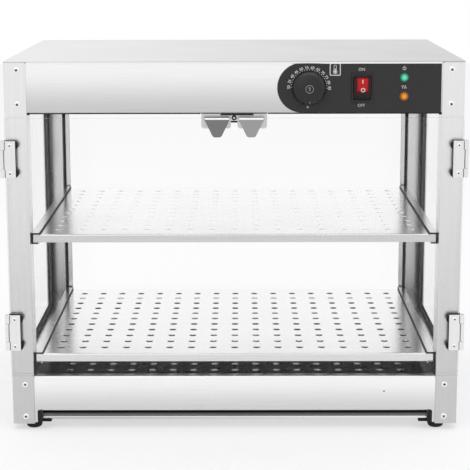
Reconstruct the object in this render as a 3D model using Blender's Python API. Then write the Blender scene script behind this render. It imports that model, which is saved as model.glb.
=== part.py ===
"""Two-tier heated display case: a sheet metal frame with glass walls, two trays and two glass doors.

Metres, +Z up. The origin is on the counter under the middle of the case, +X is to the right of
someone who faces the doors and +Y runs from the doors to the back. The doors are shut.
"""
import math

import bmesh
import bpy
from mathutils import Matrix, Vector

# Whole case
CASE_WIDTH = 0.610
CASE_DEPTH = 0.430
CASE_HEIGHT = 0.506
FIT = 0.0003          # gap between pieces that touch
OVERRUN = 0.005       # how far a cutter runs past what it cuts
BEND = 0.002          # outside radius of a folded edge

# Corner posts: channels that open towards the side glass
POST_WIDTH = 0.030
POST_DEPTH = 0.033
POST_WALL = 0.0015
POST_BOTTOM = 0.0085
POST_CORNER = 0.003   # rounded top corner of the front leg

# Header box and base box
HEADER_HEIGHT = 0.069
APRON_TOP = 0.0757
APRON_BOTTOM = 0.0265
EAR_ABOVE_POST_END = 0.0015
PANEL_WALL = 0.0012
HEM = 0.013
APRON_LIP = 0.0050
COVER_WALL = 0.0012
COVER_RING_HEIGHT = 0.010
COVER_RING_INSET = 0.018
LINER_WALL = 0.0010
LINER_FLANGE = 0.0080
FLOOR_WALL = 0.0012
FLOOR_FLANGE = 0.0070
PAN_BOTTOM = 0.0130
PAN_HEIGHT = 0.027
PAN_SETBACK = 0.0080

# Glass and its edge channels
GLASS = 0.004
CHANNEL_LEG = 0.0010
CHANNEL_BITE = 0.006
CHANNEL_DEPTH_IN_POST = 0.021
REAR_SEAL_WIDTH = 0.0030
REAR_SEAL_DEPTH = 0.0100
REAR_SEAL_SETBACK = 0.0060
REAR_FRAME_WIDTH = 0.0056
REAR_FRAME_DEPTH = 0.0080
REAR_FRAME_BITE = 0.0036

# Trays and their rails
LOWER_TRAY_RISE = 0.0294      # over the top of the apron
TRAY_SPACING = 0.1667
TRAY_WALL = 0.0010
TRAY_LIP = 0.0110
TRAY_PLAY = 0.0007
TRAY_SETBACK = 0.0115
TRAY_BACK_SPACE = 0.0255
RAIL_WALL = 0.0015
RAIL_WIDTH = 0.0106
RAIL_SETBACK = 0.0095
RAIL_BACK_SPACE = 0.0235

# Screws
FRAME_HEAD_RADIUS = 0.0040
FRAME_HEAD_HEIGHT = 0.0014
FRAME_SHANK_RADIUS = 0.0020
FRAME_SHANK_LENGTH = 0.0060
FRAME_SCREW_INSET = 0.0177
FRAME_SCREW_BELOW_TOP = 0.0113
FRAME_SCREW_ABOVE_HEADER_EDGE = 0.0121
FRAME_SCREW_BELOW_APRON_EDGE = 0.0112
FRAME_SCREW_ABOVE_POST_END = 0.0105
SMALL_HEAD_RADIUS = 0.0029
SMALL_HEAD_HEIGHT = 0.0010
CLAMP_HEAD_HEIGHT = 0.0010
SMALL_SHANK_RADIUS = 0.0014
SMALL_SHANK_LENGTH = 0.0050
SCREW_HOLE_PLAY = 0.0005
SCREW_BITE = 0.0004     # how far a head reaches into the sheet it is joined to
HEAD_CROWN_SHARE = 0.5  # of a head's height where it starts to round, and of its radius on top

# Rubber feet
FOOT_PAD_WIDTH = 0.050
FOOT_PAD_DEPTH = 0.024
FOOT_PAD_THICKNESS = 0.0025
FOOT_PAD_SETBACK = 0.0035
FOOT_RADIUS = 0.011
FOOT_SOLE_RADIUS = 0.007
FOOT_CURVE_HEIGHT = 0.005
FOOT_INSET = 0.027

# Doors
DOOR_GLASS = 0.005
DOOR_STANDOFF = 0.0027
DOOR_TOP_GAP = 0.0055
DOOR_BOTTOM_GAP = 0.0028
DOOR_GAP = 0.0030
DOOR_EDGE_INSET = 0.0004

# Door hinges
HINGE_HEIGHT = 0.0494
UPPER_HINGE_DROP = 0.0546
LOWER_HINGE_RISE = 0.0613
HINGE_PLATE_WIDTH = 0.0148
HINGE_PLATE_WALL = 0.0012
HINGE_PLATE_OVERHANG = 0.0001
KNUCKLE_RADIUS = 0.0029
KNUCKLE_BORE = 0.00155
KNUCKLE_MIDDLE = 0.0250
PIN_RADIUS = 0.00125
PIN_HEAD_RADIUS = 0.0020
PIN_HEAD_HEIGHT = 0.0008
PIN_OUTSIDE = 0.0034
POST_LEAF_WALL = 0.0015
POST_LEAF_REACH = 0.0240
POST_LEAF_START = 0.0010
DOOR_PAD_WALL = 0.0010
DOOR_PAD_MARGIN = 0.0006
DOOR_PAD_LOBE = 0.0056
DOOR_PAD_LOBE_INSET = 0.0018
BACK_PAD_WALL = 0.0006
BACK_PLATE_WALL = 0.0009
HINGE_SCREW_SPREAD = 0.0187
HINGE_SCREW_FROM_EDGE = 0.0075
POST_LEAF_SCREW_DEPTH = 0.0140
GLASS_HOLE_RADIUS = 0.0028

# Door catch and pulls
CATCH_WIDTH = 0.0872
CATCH_HEIGHT = 0.0198
CATCH_WALL = 0.0015
CATCH_GAP = 0.0086
CATCH_BRIDGE_HEIGHT = 0.0090
CATCH_CORNER = 0.0035
CATCH_FLANGE = 0.0150
CATCH_STANDS_OUT = 0.0012
CATCH_SCREW_DROP = 0.0054
MAGNET_WIDTH = 0.0300
MAGNET_HEIGHT = 0.0090
MAGNET_DEPTH = 0.0060
MAGNET_RISE = 0.0018
PULL_WALL = 0.0012
PULL_BACK_WALL = 0.0008
PULL_WIDTH = 0.0328
PULL_TIP_WIDTH = 0.0106
PULL_LENGTH = 0.0253
PULL_SHOULDER_DROP = 0.0025
PULL_TIP_CORNER = 0.0024
PULL_BACK_HEIGHT = 0.0100
PULL_FROM_MIDDLE = 0.0062

# Control strip and what it carries
STRIP_POST_GAP = 0.0011
STRIP_WALL = 0.0009
STRIP_MARGIN = 0.0008
CONTROLS_BELOW_MIDDLE = 0.00025
KNOB_FROM_STRIP_END = 0.0420
KNOB_TO_SWITCH = 0.0702
KNOB_RADIUS = 0.0220
KNOB_FACE_RADIUS = 0.0196
KNOB_HEIGHT = 0.0180
KNOB_GAP = 0.0005
KNOB_ROUND = 0.0020
KNOB_STEM_RADIUS = 0.0030
KNOB_STEM_LENGTH = 0.0120
KNOB_HOLLOW = 0.0030
KNOB_SKIRT_SHARE = 0.25       # of the knob's height that is straight
KNOB_ROUND_SHARE = 0.25       # of the rounding, where its middle facet ends
STEM_PLAY = 0.0004
THERMOSTAT_ROOM = 0.00415     # between the body and the cover ring or liner edge
THERMOSTAT_DEPTH = 0.0240
THERMOSTAT_BUSH_RADIUS = 0.0055
SWITCH_TO_LAMPS = 0.0553
BEZEL_WIDTH = 0.0284
BEZEL_HEIGHT = 0.0384
BEZEL_WALL = 0.0020
SWITCH_WALL = 0.0015
SWITCH_DEPTH = 0.0240
ROCKER_WIDTH = 0.0226
ROCKER_HALF_HEIGHT = 0.0146
ROCKER_PLAY = 0.0004
ROCKER_END_PLAY = 0.0020
ROCKER_CROWN = 0.0030
ROCKER_EDGE = 0.0006
ROCKER_SHOULDER = 0.0040
ROCKER_BACK = 0.0090
ROCKER_BACK_HALF = 0.0060
ROCKER_PIVOT = 0.0060
ROCKER_WELL = 0.0112
ROCKER_PIN_RADIUS = 0.0012
ROCKER_PIN_LENGTH = 0.0012
ROCKER_TILT = math.radians(10)
LAMPS_FROM_STRIP_END = 0.0494
GREEN_LAMP_RISE = 0.0136
ORANGE_LAMP_DROP = 0.0112
LAMP_RADIUS = 0.0066
LAMP_BODY_RADIUS = 0.0052
LAMP_BODY_DEPTH = 0.0180
LAMP_RIM = 0.0012
LAMP_DOME = 0.0030

# Inside and behind
ELEMENT_RADIUS = 0.00325
ELEMENT_RISE = 0.0350         # over the pan
ELEMENT_END_SPACE = 0.115
ELEMENT_SPACING = 0.080
ELEMENT_RUNS = 4
BRACKET_WIDTH = 0.012
BRACKET_WALL = 0.0015
BRACKET_FROM_MIDDLE_SHARE = 0.35
LIGHT_LENGTH = 0.240
LIGHT_WIDTH = 0.022
LIGHT_SETBACK = 0.040
LIGHT_FLANGE = 0.004
LIGHT_HOUSING_HEIGHT = 0.014
CEILING_SCREW_PLACE = 0.075
CEILING_SCREW_SETBACK = 0.0090
APRON_SCREW_FROM_SIDE = 0.1002
APRON_SCREW_DROP = 0.0210
INLET_FROM_SIDE = 0.105
INLET_FLANGE_WIDTH = 0.050
INLET_FLANGE_HEIGHT = 0.024
INLET_FLANGE_WALL = 0.0025
INLET_BODY_WIDTH = 0.028
INLET_BODY_HEIGHT = 0.021
INLET_BODY_DEPTH = 0.022
INLET_SOCKET_WIDTH = 0.024
INLET_SOCKET_HEIGHT = 0.0166
INLET_SOCKET_DEPTH = 0.0160
INLET_BLADE_LENGTH = 0.0085
INLET_BLADE_WIDTH = 0.0040
INLET_BLADE_WALL = 0.0020
INLET_BLADE_SPACING = 0.0070
INLET_BLADE_RISE = 0.0020
INLET_SCREW_SPACING = 0.040

# Facets of round shapes
HOLE_SIDES = 8
SCREW_SIDES = 12
PIN_SIDES = 16
LAMP_SIDES = 20
THERMOSTAT_SIDES = 24
KNOB_SIDES = 32
CORNER_STEPS = 3
DOME_STEPS = 3
LOBE_STEPS = 6
ELEMENT_BEND_STEPS = 8
STRIP_END_STEPS = 16

# Places worked out from the sizes above
SIDE = CASE_WIDTH / 2
PANEL_TOP = CASE_HEIGHT - COVER_WALL - FIT
HEADER_BOTTOM = CASE_HEIGHT - HEADER_HEIGHT
EAR_BOTTOM = POST_BOTTOM + EAR_ABOVE_POST_END
LOWER_TRAY_TOP = APRON_TOP + LOWER_TRAY_RISE
UPPER_TRAY_TOP = LOWER_TRAY_TOP + TRAY_SPACING
FRAME_SCREW_HEIGHTS = (CASE_HEIGHT - FRAME_SCREW_BELOW_TOP,
                       HEADER_BOTTOM + FRAME_SCREW_ABOVE_HEADER_EDGE,
                       APRON_TOP - FRAME_SCREW_BELOW_APRON_EDGE,
                       POST_BOTTOM + FRAME_SCREW_ABOVE_POST_END)
DOOR_TOP = HEADER_BOTTOM - DOOR_TOP_GAP
DOOR_BOTTOM = APRON_TOP + DOOR_BOTTOM_GAP
HINGE_CENTRES = (DOOR_TOP - UPPER_HINGE_DROP, DOOR_BOTTOM + LOWER_HINGE_RISE)
CATCH_BOTTOM = HEADER_BOTTOM - CATCH_HEIGHT
STRIP_TOP = PANEL_TOP - STRIP_MARGIN
STRIP_BOTTOM = HEADER_BOTTOM + STRIP_MARGIN
STRIP_MIDDLE = (STRIP_TOP + STRIP_BOTTOM) / 2
STRIP_RIGHT = SIDE - POST_WIDTH - STRIP_POST_GAP
CONTROL_HEIGHT = STRIP_MIDDLE - CONTROLS_BELOW_MIDDLE
LAMP_PLACE = STRIP_RIGHT - LAMPS_FROM_STRIP_END
LAMP_HEIGHTS = (CONTROL_HEIGHT + GREEN_LAMP_RISE, CONTROL_HEIGHT - ORANGE_LAMP_DROP)
SWITCH_PLACE = LAMP_PLACE - SWITCH_TO_LAMPS
KNOB_PLACE = SWITCH_PLACE - KNOB_TO_SWITCH
STRIP_LEFT = KNOB_PLACE - KNOB_FROM_STRIP_END
LINER_BOTTOM = HEADER_BOTTOM + PANEL_WALL + FIT
COVER_RING_BOTTOM = CASE_HEIGHT - COVER_WALL - COVER_RING_HEIGHT
THERMOSTAT_RADIUS = (COVER_RING_BOTTOM - LINER_BOTTOM - LINER_FLANGE) / 2 - THERMOSTAT_ROOM
INLET_PLACE = SIDE - INLET_FROM_SIDE
INLET_HEIGHT = CONTROL_HEIGHT
ELEMENT_HEIGHT = PAN_BOTTOM + ELEMENT_RISE
ELEMENT_RUN = CASE_WIDTH - 2 * ELEMENT_END_SPACE
PANEL_FACE = POST_WALL + FIT                       # panels lie just behind the post legs
PANEL_BACK = PANEL_FACE + PANEL_WALL
STRIP_FACE = PANEL_FACE - FIT - STRIP_WALL
KNOB_STANDS_OUT = KNOB_GAP + KNOB_HEIGHT - STRIP_FACE
INLET_STANDS_OUT = INLET_FLANGE_WALL + SMALL_HEAD_HEIGHT - PANEL_FACE + FIT
CASE_SHIFT = (KNOB_STANDS_OUT - INLET_STANDS_OUT) / 2
FRONT = CASE_SHIFT - CASE_DEPTH / 2                # front face of the front posts
REAR = CASE_SHIFT + CASE_DEPTH / 2                 # back face of the rear posts
GLASS_BACK = -DOOR_STANDOFF
GLASS_FRONT = GLASS_BACK - DOOR_GLASS
DOOR_PAD_FRONT = GLASS_FRONT - FIT - DOOR_PAD_WALL
LEAF_BACK = DOOR_PAD_FRONT - FIT
LEAF_FRONT = LEAF_BACK - HINGE_PLATE_WALL
PIN_DEPTH = LEAF_FRONT + KNUCKLE_RADIUS
PIN_ACROSS = SIDE + PIN_OUTSIDE
DOOR_OUTER = SIDE - DOOR_EDGE_INSET
DOOR_INNER = DOOR_GAP / 2
DOOR_THROUGH = GLASS_BACK + BACK_PAD_WALL + 2 * FIT - LEAF_FRONT
PLATE_OUTER = SIDE + HINGE_PLATE_OVERHANG
PLATE_INNER = PLATE_OUTER - HINGE_PLATE_WIDTH
RAIL_ACROSS = SIDE - POST_WIDTH - FIT
TRAY_HALF_WIDTH = RAIL_ACROSS - RAIL_WALL - TRAY_PLAY


def hex_colour(code):
    """Linear colour of a written sRGB colour."""
    channels = [int(code[i:i + 2], 16) / 255 for i in (0, 2, 4)]
    return [c / 12.92 if c <= 0.04045 else ((c + 0.055) / 1.055) ** 2.4 for c in channels] + [1.0]


def finish(name, code, metallic, roughness, transmission=0.0):
    material = bpy.data.materials.new(name)
    material.use_nodes = True
    shader = material.node_tree.nodes["Principled BSDF"]
    shader.inputs["Base Color"].default_value = hex_colour(code)
    shader.inputs["Metallic"].default_value = metallic
    shader.inputs["Roughness"].default_value = roughness
    shader.inputs["Transmission Weight"].default_value = transmission
    material.diffuse_color = hex_colour(code)
    return material


def new_object(name, shape, material, sharp_degrees=40):
    """Close a bmesh into a named object in the scene."""
    bmesh.ops.recalc_face_normals(shape, faces=shape.faces)
    mesh = bpy.data.meshes.new(name)
    shape.to_mesh(mesh)
    shape.free()
    mesh.shade_smooth()
    mesh.set_sharp_from_angle(angle=math.radians(sharp_degrees))
    if material:
        mesh.materials.append(material)
    piece = bpy.data.objects.new(name, mesh)
    bpy.context.scene.collection.objects.link(piece)
    return piece


def tool_object(name, shape):
    """A cutter or a piece to fuse, kept out of renders."""
    tool = new_object(name, shape, None)
    tool.hide_render = True
    tool.display_type = "WIRE"
    return tool


def combine(piece, shape, operation):
    tool = tool_object(piece.name + "_tool", shape)
    step = piece.modifiers.new(operation.title(), "BOOLEAN")
    step.operation = operation
    step.solver = "EXACT"
    step.object = tool
    if piece.parent:
        follow(tool, piece.parent)


def cut(piece, shape):
    combine(piece, shape, "DIFFERENCE")


def fuse(piece, shape):
    combine(piece, shape, "UNION")


def pivot(name, place):
    """An empty on a joint's axis that carries the pieces which move with it."""
    empty = bpy.data.objects.new(name, None)
    empty.location = place
    bpy.context.scene.collection.objects.link(empty)
    return empty


def follow(piece, empty):
    piece.parent = empty
    piece.matrix_parent_inverse = Matrix.Translation(empty.location).inverted()


def add_prism(shape, outline, place, start, end):
    """Extrude a closed outline; place turns outline and run coordinates into a point."""
    first = [shape.verts.new(place(u, v, start)) for u, v in outline]
    last = [shape.verts.new(place(u, v, end)) for u, v in outline]
    shape.faces.new(first)
    shape.faces.new(reversed(last))
    count = len(outline)
    for i in range(count):
        j = (i + 1) % count
        shape.faces.new((first[i], last[i], last[j], first[j]))


def add_box(shape, low, high):
    (x0, y0, z0), (x1, y1, z1) = low, high
    outline = [(x0, y0), (x1, y0), (x1, y1), (x0, y1)]
    add_prism(shape, outline, lambda x, y, z: Vector((x, y, z)), z0, z1)


def box_between(corner, other):
    """A box from any two opposite corners."""
    shape = bmesh.new()
    add_box(shape, *sorted_corners(corner, other))
    return shape


def sorted_corners(corner, other):
    low = [min(a, b) for a, b in zip(corner, other)]
    high = [max(a, b) for a, b in zip(corner, other)]
    return low, high


def add_turned(shape, profile, centre, along, sides):
    """Spin (distance along, radius) pairs round an axis; radius 0 closes an end."""
    axis = Vector(along).normalized()
    across = axis.orthogonal().normalized()
    up = axis.cross(across)
    rings = []
    for distance, radius in profile:
        middle = Vector(centre) + axis * distance
        if radius == 0:
            rings.append([shape.verts.new(middle)])
            continue
        turns = [2 * math.pi * k / sides for k in range(sides)]
        rings.append([shape.verts.new(middle + (across * math.cos(t) + up * math.sin(t)) * radius)
                      for t in turns])
    for ring, following in zip(rings, rings[1:]):
        for k in range(sides):
            m = (k + 1) % sides
            corners = [ring[k % len(ring)], ring[m % len(ring)],
                       following[m % len(following)], following[k % len(following)]]
            unique = list(dict.fromkeys(corners))
            if len(unique) > 2:
                shape.faces.new(unique)


def add_rod(shape, start, end, radius, sides):
    length = (Vector(end) - Vector(start)).length
    profile = [(0, 0), (0, radius), (length, radius), (length, 0)]
    add_turned(shape, profile, start, Vector(end) - Vector(start), sides)


def rounded_corner(before, corner, after, radius):
    """Points of the arc that rounds a corner."""
    before, corner, after = Vector(before), Vector(corner), Vector(after)
    back = (before - corner).normalized()
    ahead = (after - corner).normalized()
    half_angle = back.angle(ahead) / 2
    reach = radius / math.tan(half_angle)
    centre = corner + (back + ahead).normalized() * (radius / math.sin(half_angle))
    first = corner + back * reach - centre
    last = corner + ahead * reach - centre
    turns = [first.slerp(last, k / CORNER_STEPS).normalized() * radius
             for k in range(CORNER_STEPS + 1)]
    return [tuple(centre + turn) for turn in turns]


def rounded_outline(corners, radii):
    """Closed outline whose corners have the given radii; 0 keeps a corner sharp."""
    outline = []
    count = len(corners)
    for i, radius in enumerate(radii):
        if radius == 0:
            outline.append(tuple(corners[i]))
        else:
            outline += rounded_corner(corners[i - 1], corners[i], corners[(i + 1) % count], radius)
    return outline


def folded_outline(path, wall):
    """Section of a folded sheet whose outer face follows path, with the wall on its left."""
    points = [Vector(p) for p in path]
    heads = [(b - a).normalized() for a, b in zip(points, points[1:])]
    lefts = [Vector((-d.y, d.x)) for d in heads]
    inner = [points[0] + lefts[0] * wall]
    for i in range(1, len(points) - 1):
        both = lefts[i - 1] + lefts[i]
        inner.append(points[i] + both * (wall / (1 + lefts[i - 1].dot(lefts[i]))))
    inner.append(points[-1] + lefts[-1] * wall)
    middle = len(points) - 2
    corners = points + inner[::-1]
    radii = [0] + [BEND] * middle + [0, 0] + [BEND - wall] * middle + [0]
    return rounded_outline(corners, radii)


# Each wall has its own frame: how deep behind the case's face, how high, and how far along
def front_wall(depth, height, along):
    return Vector((along, FRONT + depth, height))


def rear_wall(depth, height, along):
    return Vector((along, REAR - depth, height))


def left_wall(depth, height, along):
    return Vector((depth - SIDE, along, height))


def right_wall(depth, height, along):
    return Vector((SIDE - depth, along, height))


def corner_frame(side, end):
    """Frame of one corner: inward from the side, inward from the front or rear, and up."""
    def place(inward, depth, height):
        y = FRONT + depth if end < 0 else REAR - depth
        return Vector((side * (SIDE - inward), y, height))
    return place


def add_screw(shape, seat, outward, head_radius, head_height, shank_radius, shank_length):
    """A pan head that bites into the face at seat, with its shank running inwards."""
    profile = [(-shank_length, 0), (-shank_length, shank_radius), (-SCREW_BITE, shank_radius),
               (-SCREW_BITE, head_radius), (head_height * HEAD_CROWN_SHARE, head_radius),
               (head_height, head_radius * HEAD_CROWN_SHARE), (head_height, 0)]
    add_turned(shape, profile, seat, outward, SCREW_SIDES)


def add_frame_screw(shape, seat, outward):
    add_screw(shape, seat, outward, FRAME_HEAD_RADIUS, FRAME_HEAD_HEIGHT,
              FRAME_SHANK_RADIUS, FRAME_SHANK_LENGTH)


def add_small_screw(shape, seat, outward):
    add_screw(shape, seat, outward, SMALL_HEAD_RADIUS, SMALL_HEAD_HEIGHT,
              SMALL_SHANK_RADIUS, SMALL_SHANK_LENGTH)


def add_hole(shape, seat, outward, radius):
    """A round cutter through a sheet at seat."""
    outward = Vector(outward)
    add_rod(shape, Vector(seat) - outward * OVERRUN, Vector(seat) + outward * OVERRUN, radius,
            HOLE_SIDES)


FRAME_HOLE = FRAME_SHANK_RADIUS + SCREW_HOLE_PLAY
SMALL_HOLE = SMALL_SHANK_RADIUS + SCREW_HOLE_PLAY
OUT_FRONT = Vector((0, -1, 0))
OUT_REAR = Vector((0, 1, 0))


def frame_screw_seats(end):
    """Seats of the screws on the legs of the two posts at the front or the rear."""
    wall = front_wall if end < 0 else rear_wall
    across = SIDE - FRAME_SCREW_INSET
    return [wall(0, height, side * across) for side in (-1, 1) for height in FRAME_SCREW_HEIGHTS]


def build_post(name, side, end, material):
    """One corner post with its four screws; its inner leg stops at the header and the base."""
    place = corner_frame(side, end)
    top = PANEL_TOP
    path = [(0, POST_DEPTH), (0, 0), (POST_WIDTH, 0), (POST_WIDTH, POST_DEPTH)]
    shape = bmesh.new()
    add_prism(shape, folded_outline(path, POST_WALL), place, POST_BOTTOM, top)
    post = new_object(name, shape, material)
    shape = bmesh.new()
    notch = [(POST_WIDTH - BEND - FIT, POST_WALL), (POST_WIDTH + OVERRUN, POST_WALL),
             (POST_WIDTH + OVERRUN, POST_DEPTH + OVERRUN),
             (POST_WIDTH - BEND - FIT, POST_DEPTH + OVERRUN)]
    add_prism(shape, notch, place, HEADER_BOTTOM - FIT, top + OVERRUN)
    add_prism(shape, notch, place, POST_BOTTOM - OVERRUN, APRON_TOP + FIT)
    cut(post, shape)
    # The top corner of the front leg is rounded
    arc = rounded_corner((POST_WIDTH, top - POST_DEPTH), (POST_WIDTH, top), (0, top), POST_CORNER)
    outline = arc + [(POST_WIDTH - POST_CORNER, top + OVERRUN),
                     (POST_WIDTH + OVERRUN, top + OVERRUN),
                     (POST_WIDTH + OVERRUN, top - POST_CORNER)]
    shape = bmesh.new()
    add_prism(shape, outline, lambda u, v, w: place(u, w, v), -OVERRUN, POST_WALL + OVERRUN)
    if end < 0:
        for centre in HINGE_CENTRES:
            for step in (-1, 1):
                seat = place(0, POST_LEAF_SCREW_DEPTH, centre + step * HINGE_SCREW_SPREAD)
                add_hole(shape, seat, Vector((side, 0, 0)), SMALL_HOLE)
    cut(post, shape)
    shape = bmesh.new()
    for seat in frame_screw_seats(end):
        if seat.x * side > 0:
            add_frame_screw(shape, seat, OUT_FRONT if end < 0 else OUT_REAR)
    fuse(post, shape)


def panel_section(top, bottom, top_hem, bottom_hem):
    """Section of a panel with its edges turned inwards, as depth and height."""
    path = [(PANEL_FACE + top_hem, top), (PANEL_FACE, top), (PANEL_FACE, bottom),
            (PANEL_FACE + bottom_hem, bottom)]
    return folded_outline(path, PANEL_WALL)


def build_wrap(name, section, start, material):
    """A panel folded round the two sides and the back, open at the front."""
    def left_back(depth, height):
        return corner_frame(-1, 1)(depth, depth, height)

    def right_back(depth, height):
        return corner_frame(1, 1)(depth, depth, height)

    shape = bmesh.new()
    rings = [[shape.verts.new(left_wall(d, h, start)) for d, h in section],
             [shape.verts.new(left_back(d, h)) for d, h in section],
             [shape.verts.new(right_back(d, h)) for d, h in section],
             [shape.verts.new(right_wall(d, h, start)) for d, h in section]]
    count = len(section)
    for ring, following in zip(rings, rings[1:]):
        for i in range(count):
            j = (i + 1) % count
            shape.faces.new((ring[i], following[i], following[j], ring[j]))
    shape.faces.new(rings[0])
    shape.faces.new(reversed(rings[-1]))
    return new_object(name, shape, material)


def add_ears(shape, wall):
    """Tabs behind the two post legs of a wall, down to the lowest screws."""
    inner = SIDE - POST_WIDTH - FIT
    outer = SIDE - PANEL_BACK - FIT
    ear = [(PANEL_FACE, EAR_BOTTOM), (PANEL_BACK, EAR_BOTTOM),
           (PANEL_BACK, APRON_TOP - BEND), (PANEL_FACE, APRON_TOP - BEND)]
    for side in (-1, 1):
        add_prism(shape, ear, wall, side * (inner - OVERRUN), side * outer)


def add_wall_holes(shape, end, lowest, highest):
    """Clearance holes for the frame screws that pass through a front or rear panel."""
    outward = OUT_FRONT if end < 0 else OUT_REAR
    for seat in frame_screw_seats(end):
        if lowest < seat.z < highest:
            add_hole(shape, seat, outward, FRAME_HOLE)


def build_pan(name, low, high, wall, open_side, material):
    """A shallow tray of sheet: open_side is 1 where it is open above and -1 below."""
    piece = new_object(name, box_between(low, high), material)
    hollow_low = [low[0] + wall, low[1] + wall, low[2]]
    hollow_high = [high[0] - wall, high[1] - wall, high[2]]
    if open_side > 0:
        hollow_low[2] += wall
        hollow_high[2] += OVERRUN
    else:
        hollow_low[2] -= OVERRUN
        hollow_high[2] -= wall
    cut(piece, box_between(hollow_low, hollow_high))
    return piece


def ring(outer_low, outer_high, width, axis):
    """Outer and inner corners of a frame whose window runs through along one axis."""
    inner_low = [v + width for v in outer_low]
    inner_high = [v - width for v in outer_high]
    inner_low[axis] = outer_low[axis] - OVERRUN
    inner_high[axis] = outer_high[axis] + OVERRUN
    return inner_low, inner_high


def build_side_glass(side, glass_name, channel_name, glass_material, rubber):
    """Fixed pane in a rubber channel that stands inside the two posts."""
    channel_wall = GLASS + 2 * (FIT + CHANNEL_LEG)
    outer = SIDE - PANEL_FACE
    low = [outer - channel_wall, FRONT + CHANNEL_DEPTH_IN_POST, APRON_TOP + FIT]
    high = [outer, REAR - CHANNEL_DEPTH_IN_POST, HEADER_BOTTOM - FIT]
    low, high = sorted_corners([side * low[0]] + low[1:], [side * high[0]] + high[1:])
    channel = new_object(channel_name, box_between(low, high), rubber)
    cut(channel, box_between(*ring(low, high, CHANNEL_BITE, 0)))
    slot_low = [v + CHANNEL_LEG for v in low]
    slot_high = [v - CHANNEL_LEG for v in high]
    cut(channel, box_between(slot_low, slot_high))
    pane_low = [v + FIT for v in slot_low]
    pane_high = [v - FIT for v in slot_high]
    new_object(glass_name, box_between(pane_low, pane_high), glass_material)


def build_rear_glass(glass_material, rubber, bright):
    """Fixed rear pane in a bright frame, sealed to the posts by a rubber ring."""
    across = SIDE - POST_WIDTH - FIT
    back = REAR - REAR_SEAL_SETBACK
    low = [-across, back - REAR_SEAL_DEPTH, APRON_TOP + FIT]
    high = [across, back, HEADER_BOTTOM - FIT]
    seal = new_object("rear_glass_seal", box_between(low, high), rubber)
    cut(seal, box_between(*ring(low, high, REAR_SEAL_WIDTH, 1)))
    inset = REAR_SEAL_WIDTH + FIT
    margin = (REAR_SEAL_DEPTH - REAR_FRAME_DEPTH) / 2
    frame_low = [low[0] + inset, low[1] + margin, low[2] + inset]
    frame_high = [high[0] - inset, high[1] - margin, high[2] - inset]
    frame = new_object("rear_glass_frame", box_between(frame_low, frame_high), bright)
    cut(frame, box_between(*ring(frame_low, frame_high, REAR_FRAME_WIDTH, 1)))
    edge = REAR_FRAME_WIDTH - REAR_FRAME_BITE
    leg = (REAR_FRAME_DEPTH - GLASS) / 2 - FIT
    slot_low = [frame_low[0] + edge, frame_low[1] + leg, frame_low[2] + edge]
    slot_high = [frame_high[0] - edge, frame_high[1] - leg, frame_high[2] - edge]
    cut(frame, box_between(slot_low, slot_high))
    pane_low = [v + FIT for v in slot_low]
    pane_high = [v - FIT for v in slot_high]
    new_object("rear_glass", box_between(pane_low, pane_high), glass_material)


def rail_section(top, foot):
    """Section of a tray rail: inward from the post and height; foot is its lowest point."""
    shelf = top - 2 * RAIL_WALL - TRAY_LIP - TRAY_PLAY - FIT
    outline = [(RAIL_WIDTH, top), (0, top), (0, foot)]
    if foot < shelf:
        outline += [(RAIL_WALL, foot), (RAIL_WALL, shelf)]
    outline += [(RAIL_WIDTH, shelf), (RAIL_WIDTH, shelf + RAIL_WALL),
                (RAIL_WALL, shelf + RAIL_WALL), (RAIL_WALL, top - RAIL_WALL),
                (RAIL_WIDTH, top - RAIL_WALL)]
    return outline


def build_rail(name, side, top, foot, material):
    shape = bmesh.new()
    start = FRONT + RAIL_SETBACK

    def place(inward, height, along):
        return Vector((side * (RAIL_ACROSS - inward), along, height))

    add_prism(shape, rail_section(top, foot), place, start, REAR - RAIL_BACK_SPACE)
    return new_object(name, shape, material)


def build_rails(material):
    """A pair of rails for each tray, against the posts; the lower pair ends just over the apron."""
    upper_top = UPPER_TRAY_TOP + TRAY_PLAY + RAIL_WALL
    lower_top = LOWER_TRAY_TOP + TRAY_PLAY + RAIL_WALL
    upper_foot = upper_top - 2 * RAIL_WALL - TRAY_LIP - TRAY_PLAY - FIT
    for word, side in (("left", -1), ("right", 1)):
        build_rail("upper_" + word + "_rail", side, upper_top, upper_foot, material)
        build_rail("lower_" + word + "_rail", side, lower_top, APRON_TOP + FIT, material)


def build_tray(name, top, material):
    low = [-TRAY_HALF_WIDTH, FRONT + TRAY_SETBACK, top - TRAY_LIP]
    high = [TRAY_HALF_WIDTH, REAR - TRAY_BACK_SPACE, top]
    build_pan(name, low, high, TRAY_WALL, -1, material)


def build_floor_plate(material):
    """Polished plate over the heating tube, between the edges of the base panels."""
    top = APRON_TOP - PANEL_WALL - FIT
    edge = PANEL_BACK + FIT
    build_pan("floor_plate", [edge - SIDE, FRONT + edge, top - FLOOR_FLANGE],
              [SIDE - edge, REAR - edge, top], FLOOR_WALL, -1, material)


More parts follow.
